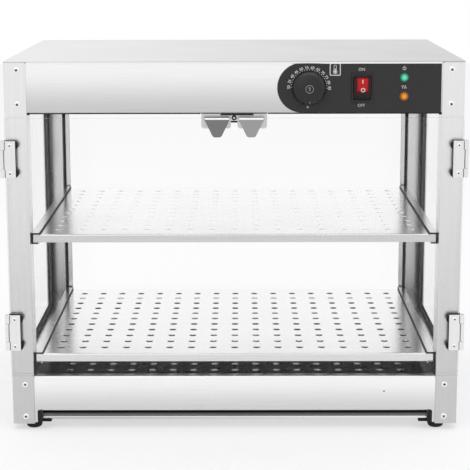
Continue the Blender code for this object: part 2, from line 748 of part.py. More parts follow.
def build_foot(name, side, end, material):
    """Rubber foot: a pad screwed under the pan, with a round sole that sticks out."""
    place = corner_frame(side, end)
    pad_top = PAN_BOTTOM - FIT
    pad_bottom = pad_top - FOOT_PAD_THICKNESS
    near = FOOT_INSET - FOOT_PAD_WIDTH / 2
    pad = box_between(place(near, FOOT_PAD_SETBACK, pad_bottom),
                      place(near + FOOT_PAD_WIDTH, FOOT_PAD_SETBACK + FOOT_PAD_DEPTH, pad_top))
    foot = new_object(name, pad, material)
    profile = [(0, 0), (0, FOOT_SOLE_RADIUS)]
    for step in range(1, DOME_STEPS + 1):
        turn = math.pi / 2 * step / DOME_STEPS
        bulge = (FOOT_RADIUS - FOOT_SOLE_RADIUS) * math.sin(turn)
        rise = FOOT_CURVE_HEIGHT * (1 - math.cos(turn))
        profile.append((rise, FOOT_SOLE_RADIUS + bulge))
    crown = (pad_bottom + pad_top) / 2
    profile += [(crown, FOOT_RADIUS), (crown, 0)]
    dome = bmesh.new()
    add_turned(dome, profile, place(FOOT_INSET, FOOT_PAD_SETBACK + FOOT_PAD_DEPTH / 2, 0),
               (0, 0, 1), PIN_SIDES)
    fuse(foot, dome)


def element_route():
    """Points of the heating tube: straight runs along X joined by half circles."""
    radius = ELEMENT_SPACING / 2
    half = ELEMENT_RUN / 2
    first_y = CASE_SHIFT - ELEMENT_SPACING * (ELEMENT_RUNS - 1) / 2
    points = []
    for run in range(ELEMENT_RUNS):
        heading = 1 if run % 2 == 0 else -1
        y = first_y + run * ELEMENT_SPACING
        points.append((-heading * half, y))
        points.append((heading * half, y))
        if run == ELEMENT_RUNS - 1:
            continue
        for step in range(1, ELEMENT_BEND_STEPS):
            turn = math.pi * step / ELEMENT_BEND_STEPS
            x = heading * (half + radius * math.sin(turn))
            points.append((x, y + radius - radius * math.cos(turn)))
    return points


def build_element(material):
    curve = bpy.data.curves.new("heating_element", "CURVE")
    curve.dimensions = "3D"
    curve.bevel_depth = ELEMENT_RADIUS
    curve.bevel_resolution = 2
    curve.use_fill_caps = True
    route = element_route()
    spline = curve.splines.new("POLY")
    spline.points.add(len(route) - 1)
    for point, (x, y) in zip(spline.points, route):
        point.co = (x, y, ELEMENT_HEIGHT, 1)
    curve.materials.append(material)
    element = bpy.data.objects.new("heating_element", curve)
    bpy.context.scene.collection.objects.link(element)


def build_base_pan(material):
    """Pan under the element, with upright brackets that carry the heating tube."""
    low = [-SIDE + PAN_SETBACK, FRONT + PAN_SETBACK, PAN_BOTTOM]
    high = [SIDE - PAN_SETBACK, REAR - PAN_SETBACK, PAN_BOTTOM + PAN_HEIGHT]
    pan = build_pan("base_pan", low, high, PANEL_WALL, 1, material)
    brackets = bmesh.new()
    first_y = CASE_SHIFT - ELEMENT_SPACING * (ELEMENT_RUNS - 1) / 2
    top = ELEMENT_HEIGHT - ELEMENT_RADIUS - FIT
    for run in range(ELEMENT_RUNS):
        y = first_y + run * ELEMENT_SPACING
        for side in (-1, 1):
            x = side * ELEMENT_RUN * BRACKET_FROM_MIDDLE_SHARE
            add_box(brackets, (x - BRACKET_WALL / 2, y - BRACKET_WIDTH / 2, PAN_BOTTOM + PANEL_WALL / 2),
                    (x + BRACKET_WALL / 2, y + BRACKET_WIDTH / 2, top))
    fuse(pan, brackets)


def ceiling_screw_seats():
    return [front_wall(CEILING_SCREW_SETBACK, HEADER_BOTTOM, side * CEILING_SCREW_PLACE)
            for side in (-1, 1)]


def build_ceiling(sheet, frosted):
    """Liner over the trays, with a slot for the light that lies on it."""
    bottom = LINER_BOTTOM
    across = SIDE - PANEL_BACK - FIT
    low = [-across, FRONT + PANEL_BACK + FIT, bottom]
    high = [across, REAR - PANEL_BACK - FIT, bottom + LINER_FLANGE]
    liner = build_pan("ceiling_liner", low, high, LINER_WALL, 1, sheet)
    near = FRONT + LIGHT_SETBACK
    half = LIGHT_LENGTH / 2
    cut(liner, box_between((-half - FIT, near - FIT, bottom - OVERRUN),
                           (half + FIT, near + LIGHT_WIDTH + FIT, bottom + OVERRUN)))
    holes = bmesh.new()
    for seat in ceiling_screw_seats():
        add_hole(holes, seat, (0, 0, -1), SMALL_HOLE)
    cut(liner, holes)
    seat = bottom + LINER_WALL + FIT
    light = bmesh.new()
    add_box(light, (-half, near, bottom), (half, near + LIGHT_WIDTH, seat + LINER_WALL))
    lamp = new_object("ceiling_light", light, frosted)
    housing = box_between((-half - LIGHT_FLANGE, near - LIGHT_FLANGE, seat),
                          (half + LIGHT_FLANGE, near + LIGHT_WIDTH + LIGHT_FLANGE,
                           seat + LIGHT_HOUSING_HEIGHT))
    fuse(lamp, housing)


def door_screw_seats(side):
    """Seats of a door's hinge screws, on the front faces of its two leaves."""
    x = side * (PLATE_OUTER - HINGE_SCREW_FROM_EDGE)
    return [front_wall(LEAF_FRONT, centre + step * HINGE_SCREW_SPREAD, x)
            for centre in HINGE_CENTRES for step in (-1, 1)]


def build_door_leaf(name, side, centre, empty, material):
    """Front plate of a hinge with its upper and lower knuckles."""
    low = centre - HINGE_HEIGHT / 2
    high = centre + HINGE_HEIGHT / 2
    mid_low = centre - KNUCKLE_MIDDLE / 2 - FIT
    mid_high = centre + KNUCKLE_MIDDLE / 2 + FIT
    plate = [(PLATE_INNER, low), (PIN_ACROSS, low), (PIN_ACROSS, mid_low), (PLATE_OUTER, mid_low),
             (PLATE_OUTER, mid_high), (PIN_ACROSS, mid_high), (PIN_ACROSS, high),
             (PLATE_INNER, high)]
    shape = bmesh.new()
    add_prism(shape, plate, lambda x, z, v: front_wall(v, z, side * x), LEAF_FRONT, LEAF_BACK)
    leaf = new_object(name, shape, material)
    follow(leaf, empty)
    knuckles = bmesh.new()
    for bottom, top in ((low, mid_low), (mid_high, high)):
        add_rod(knuckles, front_wall(PIN_DEPTH, bottom, side * PIN_ACROSS),
                front_wall(PIN_DEPTH, top, side * PIN_ACROSS), KNUCKLE_RADIUS, PIN_SIDES)
    fuse(leaf, knuckles)
    holes = bmesh.new()
    add_rod(holes, front_wall(PIN_DEPTH, low - OVERRUN, side * PIN_ACROSS),
            front_wall(PIN_DEPTH, high + OVERRUN, side * PIN_ACROSS), KNUCKLE_BORE, SCREW_SIDES)
    for seat in hinge_screw_seats(side, centre):
        add_hole(holes, seat, OUT_FRONT, SMALL_HOLE)
    cut(leaf, holes)


def pad_outline(centre):
    """Outline of a rubber pad: a strip with a round lobe beside each screw."""
    low = centre - HINGE_HEIGHT / 2
    high = centre + HINGE_HEIGHT / 2
    inner = PLATE_INNER - DOOR_PAD_MARGIN
    lobe_x = PLATE_INNER + DOOR_PAD_LOBE_INSET
    start = math.acos((lobe_x - inner) / DOOR_PAD_LOBE)
    outline = [(DOOR_OUTER, high), (DOOR_OUTER, low), (inner, low)]
    for step in (-1, 1):
        lobe_z = centre + step * HINGE_SCREW_SPREAD
        for k in range(LOBE_STEPS + 1):
            turn = -start + 2 * start * k / LOBE_STEPS
            outline.append((lobe_x - DOOR_PAD_LOBE * math.cos(turn),
                            lobe_z + DOOR_PAD_LOBE * math.sin(turn)))
    return outline + [(inner, high)]


def hinge_screw_seats(side, centre):
    return [seat for seat in door_screw_seats(side) if abs(seat.z - centre) < HINGE_HEIGHT / 2]


def build_hinge_pad(name, side, centre, empty, material):
    """Rubber on both faces of the glass, joined by two sleeves through the glass."""
    low = centre - HINGE_HEIGHT / 2
    high = centre + HINGE_HEIGHT / 2
    shape = bmesh.new()
    add_prism(shape, pad_outline(centre), lambda x, z, v: front_wall(v, z, side * x),
              DOOR_PAD_FRONT, DOOR_PAD_FRONT + DOOR_PAD_WALL)
    back = GLASS_BACK + FIT
    add_box(shape, *sorted_corners(front_wall(back, low, side * DOOR_OUTER),
                                   front_wall(back + BACK_PAD_WALL, high, side * PLATE_INNER)))
    pad = new_object(name, shape, material)
    follow(pad, empty)
    sleeves = bmesh.new()
    bores = bmesh.new()
    for seat in hinge_screw_seats(side, centre):
        first = seat - OUT_FRONT * (DOOR_PAD_FRONT + DOOR_PAD_WALL / 2 - LEAF_FRONT)
        last = seat - OUT_FRONT * (back + BACK_PAD_WALL / 2 - LEAF_FRONT)
        add_rod(sleeves, first, last, GLASS_HOLE_RADIUS - FIT, SCREW_SIDES)
        add_rod(bores, seat, seat - OUT_FRONT * (DOOR_THROUGH + OVERRUN), SMALL_HOLE,
                SCREW_SIDES)
    fuse(pad, sleeves)
    cut(pad, bores)


def build_hinge_clamp(name, side, centre, empty, material):
    """Plate behind the glass with the two screws that clamp the hinge to it."""
    low = centre - HINGE_HEIGHT / 2
    high = centre + HINGE_HEIGHT / 2
    front = GLASS_BACK + FIT + BACK_PAD_WALL + FIT
    plate = box_between(front_wall(front, low, side * DOOR_OUTER),
                        front_wall(front + BACK_PLATE_WALL, high, side * PLATE_INNER))
    clamp = new_object(name, plate, material)
    follow(clamp, empty)
    crown = CLAMP_HEAD_HEIGHT
    reach = front + BACK_PLATE_WALL / 2 - LEAF_FRONT
    profile = [(-reach, 0), (-reach, SMALL_SHANK_RADIUS), (FIT, SMALL_SHANK_RADIUS),
               (FIT, SMALL_HEAD_RADIUS), (FIT + crown * HEAD_CROWN_SHARE, SMALL_HEAD_RADIUS),
               (FIT + crown, SMALL_HEAD_RADIUS * HEAD_CROWN_SHARE), (FIT + crown, 0)]
    screws = bmesh.new()
    for seat in hinge_screw_seats(side, centre):
        add_turned(screws, profile, seat, OUT_FRONT, SCREW_SIDES)
    fuse(clamp, screws)


def build_door(side, word, glass_material, bright, rubber, plate_metal):
    """One glass door with its leaves, pads, back plates, screws and pull."""
    empty = pivot(word + "_door_pivot", front_wall(PIN_DEPTH, 0, side * PIN_ACROSS))
    low, high = sorted_corners(front_wall(GLASS_FRONT, DOOR_BOTTOM, side * DOOR_OUTER),
                               front_wall(GLASS_BACK, DOOR_TOP, side * DOOR_INNER))
    pane = new_object(word + "_door_glass", box_between(low, high), glass_material)
    follow(pane, empty)
    holes = bmesh.new()
    for seat in door_screw_seats(side):
        add_rod(holes, seat, seat - OUT_FRONT * (DOOR_THROUGH + OVERRUN), GLASS_HOLE_RADIUS,
                SCREW_SIDES)
    cut(pane, holes)
    for place_word, centre in zip(("upper", "lower"), HINGE_CENTRES):
        label = place_word + "_" + word
        build_door_leaf(label + "_door_leaf", side, centre, empty, bright)
        build_hinge_pad(label + "_hinge_pad", side, centre, empty, rubber)
        build_hinge_clamp(label + "_hinge_clamp", side, centre, empty, plate_metal)
    build_pull(side, word, empty, plate_metal)


def build_pull(side, word, empty, material):
    """Spring clip over the door's top edge: a tapering grip outside, a short striker inside."""
    near = PULL_FROM_MIDDLE
    far = near + PULL_WIDTH
    middle = (near + far) / 2
    clip_top = DOOR_TOP + FIT + PULL_WALL
    front_face = GLASS_FRONT - FIT - PULL_WALL
    half_tip = PULL_TIP_WIDTH / 2
    tip = DOOR_TOP - PULL_LENGTH
    shoulder = DOOR_TOP - PULL_SHOULDER_DROP
    corners = [(near, clip_top), (near, shoulder), (middle - half_tip, tip),
               (middle + half_tip, tip), (far, shoulder), (far, clip_top)]
    outline = rounded_outline(corners, [0, 0, PULL_TIP_CORNER, PULL_TIP_CORNER, 0, 0])
    shape = bmesh.new()
    add_prism(shape, outline, lambda x, z, v: front_wall(v, z, side * x), front_face,
              front_face + PULL_WALL)
    pull = new_object(word + "_door_pull", shape, material)
    follow(pull, empty)
    back = GLASS_BACK + FIT
    bridge = bmesh.new()
    section = [(front_face + PULL_WALL / 2, clip_top), (back + PULL_BACK_WALL, clip_top),
               (back + PULL_BACK_WALL, DOOR_TOP - PULL_BACK_HEIGHT),
               (back, DOOR_TOP - PULL_BACK_HEIGHT), (back, DOOR_TOP + FIT),
               (front_face + PULL_WALL / 2, DOOR_TOP + FIT)]
    add_prism(bridge, section, front_wall, side * near, side * far)
    fuse(pull, bridge)


def build_post_leaf(name, side, centre, material):
    """Side plate of a hinge with the middle knuckle, its pin and its two screws."""
    inner = SIDE + FIT
    low = centre - HINGE_HEIGHT / 2
    high = centre + HINGE_HEIGHT / 2
    mid_low = centre - KNUCKLE_MIDDLE / 2
    mid_high = centre + KNUCKLE_MIDDLE / 2
    outline = [(PIN_DEPTH, mid_low), (POST_LEAF_START, mid_low), (POST_LEAF_START, low),
               (POST_LEAF_REACH, low), (POST_LEAF_REACH, high), (POST_LEAF_START, high),
               (POST_LEAF_START, mid_high), (PIN_DEPTH, mid_high)]
    shape = bmesh.new()
    add_prism(shape, outline, lambda v, z, x: front_wall(v, z, side * x),
              inner, inner + POST_LEAF_WALL)
    leaf = new_object(name, shape, material)
    foot = front_wall(PIN_DEPTH, low, side * PIN_ACROSS)
    start = mid_low - low
    end = mid_high - low
    neck = HINGE_HEIGHT + FIT
    crown = neck + PIN_HEAD_HEIGHT
    profile = [(0, 0), (0, PIN_RADIUS), (start, PIN_RADIUS), (start, KNUCKLE_RADIUS),
               (end, KNUCKLE_RADIUS), (end, PIN_RADIUS), (neck, PIN_RADIUS),
               (neck, PIN_HEAD_RADIUS), (crown, PIN_HEAD_RADIUS), (crown, 0)]
    knuckle = bmesh.new()
    add_turned(knuckle, profile, foot, (0, 0, 1), PIN_SIDES)
    fuse(leaf, knuckle)
    screws = bmesh.new()
    for step in (-1, 1):
        seat = front_wall(POST_LEAF_SCREW_DEPTH, centre + step * HINGE_SCREW_SPREAD,
                          side * (inner + POST_LEAF_WALL))
        add_small_screw(screws, seat, Vector((side, 0, 0)))
    fuse(leaf, screws)


def build_catch(material):
    """Bracket under the header with two tabs, and a magnet block behind each tab."""
    half = CATCH_WIDTH / 2
    gap = CATCH_GAP / 2
    top = HEADER_BOTTOM - FIT
    gap_top = HEADER_BOTTOM - CATCH_BRIDGE_HEIGHT
    corners = [(-half, top), (-half, CATCH_BOTTOM), (-gap, CATCH_BOTTOM), (-gap, gap_top),
               (gap, gap_top), (gap, CATCH_BOTTOM), (half, CATCH_BOTTOM), (half, top)]
    radii = [0, CATCH_CORNER, CATCH_CORNER, 0, 0, CATCH_CORNER, CATCH_CORNER, 0]
    front = -CATCH_STANDS_OUT
    shape = bmesh.new()
    add_prism(shape, rounded_outline(corners, radii), lambda x, z, v: front_wall(v, z, x),
              front, front + CATCH_WALL)
    catch = new_object("door_catch", shape, material)
    low, high = sorted_corners(front_wall(front + CATCH_WALL / 2, top - CATCH_WALL, -half),
                               front_wall(front + CATCH_FLANGE, top, half))
    fuse(catch, box_between(low, high))
    magnets = bmesh.new()
    magnet_bottom = CATCH_BOTTOM + MAGNET_RISE
    for side in (-1, 1):
        middle = side * (half + gap) / 2
        low, high = sorted_corners(
            front_wall(front + CATCH_WALL / 2, magnet_bottom, middle - MAGNET_WIDTH / 2),
            front_wall(front + CATCH_WALL + MAGNET_DEPTH, magnet_bottom + MAGNET_HEIGHT,
                       middle + MAGNET_WIDTH / 2))
        add_box(magnets, low, high)
    fuse(catch, magnets)
    screw = bmesh.new()
    add_small_screw(screw, front_wall(front, HEADER_BOTTOM - CATCH_SCREW_DROP, 0), OUT_FRONT)
    fuse(catch, screw)


def build_strip(material):
    """Black plate on the header, round at its left end."""
    radius = (STRIP_TOP - STRIP_BOTTOM) / 2
    outline = [(STRIP_RIGHT, STRIP_BOTTOM), (STRIP_RIGHT, STRIP_TOP)]
    for k in range(STRIP_END_STEPS + 1):
        turn = math.pi / 2 + math.pi * k / STRIP_END_STEPS
        outline.append((STRIP_LEFT + radius + radius * math.cos(turn),
                        STRIP_MIDDLE + radius * math.sin(turn)))
    shape = bmesh.new()
    add_prism(shape, outline, lambda x, z, v: front_wall(v, z, x), STRIP_FACE,
              STRIP_FACE + STRIP_WALL)
    strip = new_object("control_strip", shape, material)
    cut(strip, control_holes())


def control_holes():
    """Openings in the strip and the header for the thermostat, the switch and the lamps."""
    shape = bmesh.new()
    add_rod(shape, front_wall(-OVERRUN, CONTROL_HEIGHT, KNOB_PLACE),
            front_wall(OVERRUN, CONTROL_HEIGHT, KNOB_PLACE), THERMOSTAT_BUSH_RADIUS + FIT,
            PIN_SIDES)
    for height in LAMP_HEIGHTS:
        add_rod(shape, front_wall(-OVERRUN, height, LAMP_PLACE),
                front_wall(OVERRUN, height, LAMP_PLACE), LAMP_BODY_RADIUS + FIT, PIN_SIDES)
    half_width = switch_half_width() + FIT
    half_height = switch_half_height() + FIT
    low, high = sorted_corners(
        front_wall(-OVERRUN, CONTROL_HEIGHT - half_height, SWITCH_PLACE - half_width),
        front_wall(OVERRUN, CONTROL_HEIGHT + half_height, SWITCH_PLACE + half_width))
    add_box(shape, low, high)
    return shape


def switch_half_width():
    return ROCKER_WIDTH / 2 + ROCKER_PLAY + SWITCH_WALL


def switch_half_height():
    return ROCKER_HALF_HEIGHT + ROCKER_END_PLAY + SWITCH_WALL


def build_thermostat(material):
    """Round thermostat body behind the header, whose bush passes through the panel."""
    back = PANEL_BACK + FIT
    bush_front = STRIP_FACE + KNOB_GAP
    bore = KNOB_STEM_RADIUS + STEM_PLAY
    floor = STRIP_FACE - KNOB_GAP + KNOB_STEM_LENGTH + FIT
    profile = [(bush_front, 0), (bush_front, THERMOSTAT_BUSH_RADIUS),
               (back, THERMOSTAT_BUSH_RADIUS), (back, THERMOSTAT_RADIUS),
               (back + THERMOSTAT_DEPTH, THERMOSTAT_RADIUS), (back + THERMOSTAT_DEPTH, 0)]
    shape = bmesh.new()
    centre = front_wall(0, CONTROL_HEIGHT, KNOB_PLACE)
    add_turned(shape, profile, centre, (0, 1, 0), THERMOSTAT_SIDES)
    body = new_object("thermostat", shape, material)
    bore_tool = bmesh.new()
    add_rod(bore_tool, centre + Vector((0, bush_front - OVERRUN, 0)), centre + Vector((0, floor, 0)),
            bore, PIN_SIDES)
    cut(body, bore_tool)


def build_knob(material):
    """Thermostat knob: a hollow cap with a rounded rim and a stem that enters the bush."""
    base = STRIP_FACE - KNOB_GAP
    face = base - KNOB_HEIGHT
    centre = front_wall(0, CONTROL_HEIGHT, KNOB_PLACE)
    empty = pivot("thermostat_knob_pivot", centre)
    rim = [(base, KNOB_RADIUS), (base - KNOB_HEIGHT * KNOB_SKIRT_SHARE, KNOB_RADIUS)]
    facet = KNOB_ROUND * KNOB_ROUND_SHARE
    crown = [(face + KNOB_ROUND, KNOB_FACE_RADIUS + facet), (face + facet, KNOB_FACE_RADIUS - facet),
             (face, KNOB_FACE_RADIUS - KNOB_ROUND)]
    profile = [(base, KNOB_RADIUS - KNOB_HOLLOW)] + rim + crown + [(face, 0)]
    stem = base + KNOB_STEM_LENGTH
    hollow = face + KNOB_HOLLOW
    inside = [(stem, 0), (stem, KNOB_STEM_RADIUS), (hollow, KNOB_STEM_RADIUS),
              (hollow, KNOB_FACE_RADIUS - KNOB_HOLLOW)]
    shape = bmesh.new()
    add_turned(shape, inside + profile, centre, (0, 1, 0), KNOB_SIDES)
    follow(new_object("thermostat_knob", shape, material, 50), empty)


def build_switch(material):
    """Switch body with its bezel in front and a well for the rocker."""
    half_width = switch_half_width()
    half_height = switch_half_height()
    bezel_face = STRIP_FACE - FIT - BEZEL_WALL
    low, high = sorted_corners(
        front_wall(bezel_face, CONTROL_HEIGHT - BEZEL_HEIGHT / 2, SWITCH_PLACE - BEZEL_WIDTH / 2),
        front_wall(STRIP_FACE - FIT, CONTROL_HEIGHT + BEZEL_HEIGHT / 2, SWITCH_PLACE + BEZEL_WIDTH / 2))
    body = new_object("switch_body", box_between(low, high), material)
    low, high = sorted_corners(
        front_wall(bezel_face + BEZEL_WALL / 2, CONTROL_HEIGHT - half_height, SWITCH_PLACE - half_width),
        front_wall(bezel_face + SWITCH_DEPTH, CONTROL_HEIGHT + half_height, SWITCH_PLACE + half_width))
    fuse(body, box_between(low, high))
    low, high = sorted_corners(
        front_wall(bezel_face - OVERRUN, CONTROL_HEIGHT - half_height + SWITCH_WALL,
                   SWITCH_PLACE - half_width + SWITCH_WALL),
        front_wall(bezel_face + ROCKER_WELL, CONTROL_HEIGHT + half_height - SWITCH_WALL,
                   SWITCH_PLACE + half_width - SWITCH_WALL))
    cut(body, box_between(low, high))
    sockets = bmesh.new()
    reach = ROCKER_WIDTH / 2 + ROCKER_PIN_LENGTH + FIT
    depth = bezel_face + ROCKER_PIVOT
    add_rod(sockets, front_wall(depth, CONTROL_HEIGHT, SWITCH_PLACE - reach),
            front_wall(depth, CONTROL_HEIGHT, SWITCH_PLACE + reach), ROCKER_PIN_RADIUS + FIT,
            SCREW_SIDES)
    cut(body, sockets)


def build_rocker(material):
    """Rocker on two side pins, at rest with its lower end pressed in."""
    bezel_face = STRIP_FACE - FIT - BEZEL_WALL
    half = ROCKER_HALF_HEIGHT
    section = [(-ROCKER_CROWN, 0), (-ROCKER_EDGE, half), (ROCKER_SHOULDER, half),
               (ROCKER_BACK, ROCKER_BACK_HALF), (ROCKER_BACK, -ROCKER_BACK_HALF),
               (ROCKER_SHOULDER, -half), (-ROCKER_EDGE, -half)]
    tilt = Matrix.Rotation(ROCKER_TILT, 2)
    hub = Vector((ROCKER_PIVOT, 0))
    tilted = [tilt @ (Vector(p) - hub) + hub for p in section]

    def place(depth, height, along):
        return front_wall(bezel_face + depth, CONTROL_HEIGHT + height, SWITCH_PLACE + along)

    empty = pivot("switch_rocker_pivot", place(ROCKER_PIVOT, 0, 0))
    shape = bmesh.new()
    add_prism(shape, tilted, place, -ROCKER_WIDTH / 2, ROCKER_WIDTH / 2)
    rocker = new_object("switch_rocker", shape, material, 20)
    follow(rocker, empty)
    pins = bmesh.new()
    reach = ROCKER_WIDTH / 2 + ROCKER_PIN_LENGTH
    add_rod(pins, place(ROCKER_PIVOT, 0, -reach), place(ROCKER_PIVOT, 0, reach), ROCKER_PIN_RADIUS,
            SCREW_SIDES)
    fuse(rocker, pins)


def build_lamp(name, height, material):
    centre = front_wall(0, height, LAMP_PLACE)
    face = STRIP_FACE - FIT
    profile = [(PANEL_BACK + LAMP_BODY_DEPTH, 0), (PANEL_BACK + LAMP_BODY_DEPTH, LAMP_BODY_RADIUS),
               (face, LAMP_BODY_RADIUS), (face, LAMP_RADIUS), (face - LAMP_RIM, LAMP_RADIUS)]
    for step in range(1, DOME_STEPS + 1):
        turn = math.pi / 2 * step / DOME_STEPS
        radius = 0 if step == DOME_STEPS else LAMP_RADIUS * math.cos(turn)
        profile.append((face - LAMP_RIM - LAMP_DOME * math.sin(turn), radius))
    shape = bmesh.new()
    add_turned(shape, profile, centre, (0, 1, 0), LAMP_SIDES)
    new_object(name, shape, material)


def inlet_box(width, height, front, back):
    """A box centred on the inlet, between two depths behind the rear face."""
    return box_between(rear_wall(front, INLET_HEIGHT - height / 2, INLET_PLACE - width / 2),
                       rear_wall(back, INLET_HEIGHT + height / 2, INLET_PLACE + width / 2))


def inlet_screw_seats():
    front = PANEL_FACE - FIT - INLET_FLANGE_WALL
    return [rear_wall(front, INLET_HEIGHT, INLET_PLACE + side * INLET_SCREW_SPACING / 2)
            for side in (-1, 1)]


def build_inlet(material):
    """Mains inlet in the rear header: flange, body, socket and three blades."""
    face = PANEL_FACE - FIT - INLET_FLANGE_WALL
    inlet = new_object("power_inlet",
                       inlet_box(INLET_FLANGE_WIDTH, INLET_FLANGE_HEIGHT, face, PANEL_FACE - FIT),
                       material)
    fuse(inlet, inlet_box(INLET_BODY_WIDTH, INLET_BODY_HEIGHT, face + INLET_FLANGE_WALL / 2,
                          face + INLET_BODY_DEPTH))
    cut(inlet, inlet_box(INLET_SOCKET_WIDTH, INLET_SOCKET_HEIGHT, face - OVERRUN,
                         face + INLET_SOCKET_DEPTH))
    blades = bmesh.new()
    for step, rise in ((-1, -1), (0, 1), (1, -1)):
        x = INLET_PLACE + step * INLET_BLADE_SPACING
        z = INLET_HEIGHT + rise * INLET_BLADE_RISE
        low, high = sorted_corners(
            rear_wall(face + INLET_SOCKET_DEPTH - INLET_BLADE_LENGTH, z - INLET_BLADE_WIDTH / 2,
                      x - INLET_BLADE_WALL / 2),
            rear_wall(face + INLET_SOCKET_DEPTH + INLET_BLADE_WALL, z + INLET_BLADE_WIDTH / 2,
                      x + INLET_BLADE_WALL / 2))
        add_box(blades, low, high)
    fuse(inlet, blades)
    screws = bmesh.new()
    for seat in inlet_screw_seats():
        add_small_screw(screws, seat, OUT_REAR)
    fuse(inlet, screws)


def build_top_cover(material):
    low = [-SIDE, FRONT, CASE_HEIGHT - COVER_WALL]
    high = [SIDE, REAR, CASE_HEIGHT]
    cover = new_object("top_cover", box_between(low, high), material)
    inset = COVER_RING_INSET
    ring_low = [low[0] + inset, low[1] + inset, low[2] - COVER_RING_HEIGHT]
    ring_high = [high[0] - inset, high[1] - inset, low[2] + COVER_WALL / 2]
    fuse(cover, box_between(ring_low, ring_high))
    hollow_low = [v + COVER_WALL for v in ring_low[:2]] + [ring_low[2] - OVERRUN]
    hollow_high = [v - COVER_WALL for v in ring_high[:2]] + [low[2]]
    cut(cover, box_between(hollow_low, hollow_high))


def build_headers(material):
    """Front header with the control openings, and the header that wraps sides and back."""
    section = panel_section(PANEL_TOP, HEADER_BOTTOM, HEM, HEM)
    across = SIDE - PANEL_FACE
    shape = bmesh.new()
    add_prism(shape, section, front_wall, -across, across)
    header = new_object("front_header", shape, material)
    holes = control_holes()
    add_wall_holes(holes, -1, HEADER_BOTTOM, CASE_HEIGHT)
    cut(header, holes)
    screws = bmesh.new()
    for seat in ceiling_screw_seats():
        add_small_screw(screws, seat, (0, 0, -1))
    fuse(header, screws)
    start = FRONT + PANEL_FACE + HEM + FIT
    wrap = build_wrap("header_wrap", section, start, material)
    holes = inlet_box(INLET_BODY_WIDTH + 2 * FIT, INLET_BODY_HEIGHT + 2 * FIT, -OVERRUN, OVERRUN)
    add_wall_holes(holes, 1, HEADER_BOTTOM, CASE_HEIGHT)
    for seat in inlet_screw_seats():
        add_hole(holes, seat, OUT_REAR, SMALL_HOLE)
    cut(wrap, holes)


def build_base_panels(material):
    """Front apron between the posts, and the base panel that wraps sides and back."""
    section = panel_section(APRON_TOP, APRON_BOTTOM, HEM, APRON_LIP)
    inner = SIDE - POST_WIDTH - FIT
    shape = bmesh.new()
    add_prism(shape, section, front_wall, -inner, inner)
    apron = new_object("front_apron", shape, material)
    ears = bmesh.new()
    add_ears(ears, front_wall)
    fuse(apron, ears)
    holes = bmesh.new()
    add_wall_holes(holes, -1, 0, APRON_TOP)
    cut(apron, holes)
    screw = bmesh.new()
    seat = front_wall(PANEL_FACE, APRON_TOP - APRON_SCREW_DROP, SIDE - APRON_SCREW_FROM_SIDE)
    add_small_screw(screw, seat, OUT_FRONT)
    fuse(apron, screw)
    wrap = build_wrap("base_wrap", section, FRONT + PANEL_FACE + HEM + FIT, material)
    ears = bmesh.new()
    add_ears(ears, rear_wall)
    fuse(wrap, ears)
    holes = bmesh.new()
    add_wall_holes(holes, 1, 0, APRON_TOP)
    cut(wrap, holes)


def build_case():
    for item in list(bpy.data.objects):
        bpy.data.objects.remove(item, do_unlink=True)
    sheet = finish("brushed stainless sheet", "DCDCDC", 1.0, 0.32)
    post_metal = finish("satin stainless post", "D6D6D6", 1.0, 0.36)
    mirror = finish("polished stainless tray", "CFCFCF", 1.0, 0.12)
    liner = finish("dull stainless liner", "B9B9B9", 1.0, 0.45)
    bright = finish("bright hinge metal", "E8E8E8", 1.0, 0.25)
    pull_metal = finish("grey spring steel", "8C8C8C", 1.0, 0.35)
    clear = finish("clear toughened glass", "F4F8F6", 0.0, 0.03, 1.0)
    rubber = finish("black silicone rubber", "1C1C1C", 0.0, 0.75)
    black_plate = finish("black satin plate", "3A3A3A", 0.0, 0.50)
    black_plastic = finish("black moulded plastic", "222222", 0.0, 0.42)
    red = finish("red translucent plastic", "D8141C", 0.0, 0.25)
    green = finish("green lens", "2FC08A", 0.0, 0.15)
    orange = finish("orange lens", "FF9A1A", 0.0, 0.15)
    frosted = finish("frosted diffuser", "F2F2EC", 0.0, 0.6)
    element_metal = finish("oxidised heating tube", "6A645C", 1.0, 0.5)

    build_post("front_left_post", -1, -1, post_metal)
    build_post("front_right_post", 1, -1, post_metal)
    build_post("rear_left_post", -1, 1, post_metal)
    build_post("rear_right_post", 1, 1, post_metal)
    build_headers(sheet)
    build_base_panels(sheet)
    build_top_cover(sheet)
    build_ceiling(liner, frosted)
    build_base_pan(liner)
    build_floor_plate(mirror)
    build_element(element_metal)
    build_foot("front_left_foot", -1, -1, rubber)
    build_foot("front_right_foot", 1, -1, rubber)
    build_foot("rear_left_foot", -1, 1, rubber)
    build_foot("rear_right_foot", 1, 1, rubber)

    build_side_glass(-1, "left_side_glass", "left_glass_channel", clear, rubber)
    build_side_glass(1, "right_side_glass", "right_glass_channel", clear, rubber)
    build_rear_glass(clear, rubber, bright)

    build_rails(bright)
    build_tray("upper_tray", UPPER_TRAY_TOP, mirror)
    build_tray("lower_tray", LOWER_TRAY_TOP, mirror)

    build_strip(black_plate)
    build_thermostat(black_plastic)
    build_knob(black_plastic)
    build_switch(black_plastic)
    build_rocker(red)
    build_lamp("green_lamp", LAMP_HEIGHTS[0], green)
    build_lamp("orange_lamp", LAMP_HEIGHTS[1], orange)
    build_inlet(black_plastic)

    build_catch(bright)
    build_door(-1, "left", clear, bright, rubber, pull_metal)
    build_door(1, "right", clear, bright, rubber, pull_metal)
    for word, side in (("left", -1), ("right", 1)):
        for place_word, centre in zip(("upper", "lower"), HINGE_CENTRES):
            build_post_leaf(place_word + "_" + word + "_post_leaf", side, centre, bright)


build_case()
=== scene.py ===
import math

import bmesh
import bpy
from mathutils import Matrix, Vector


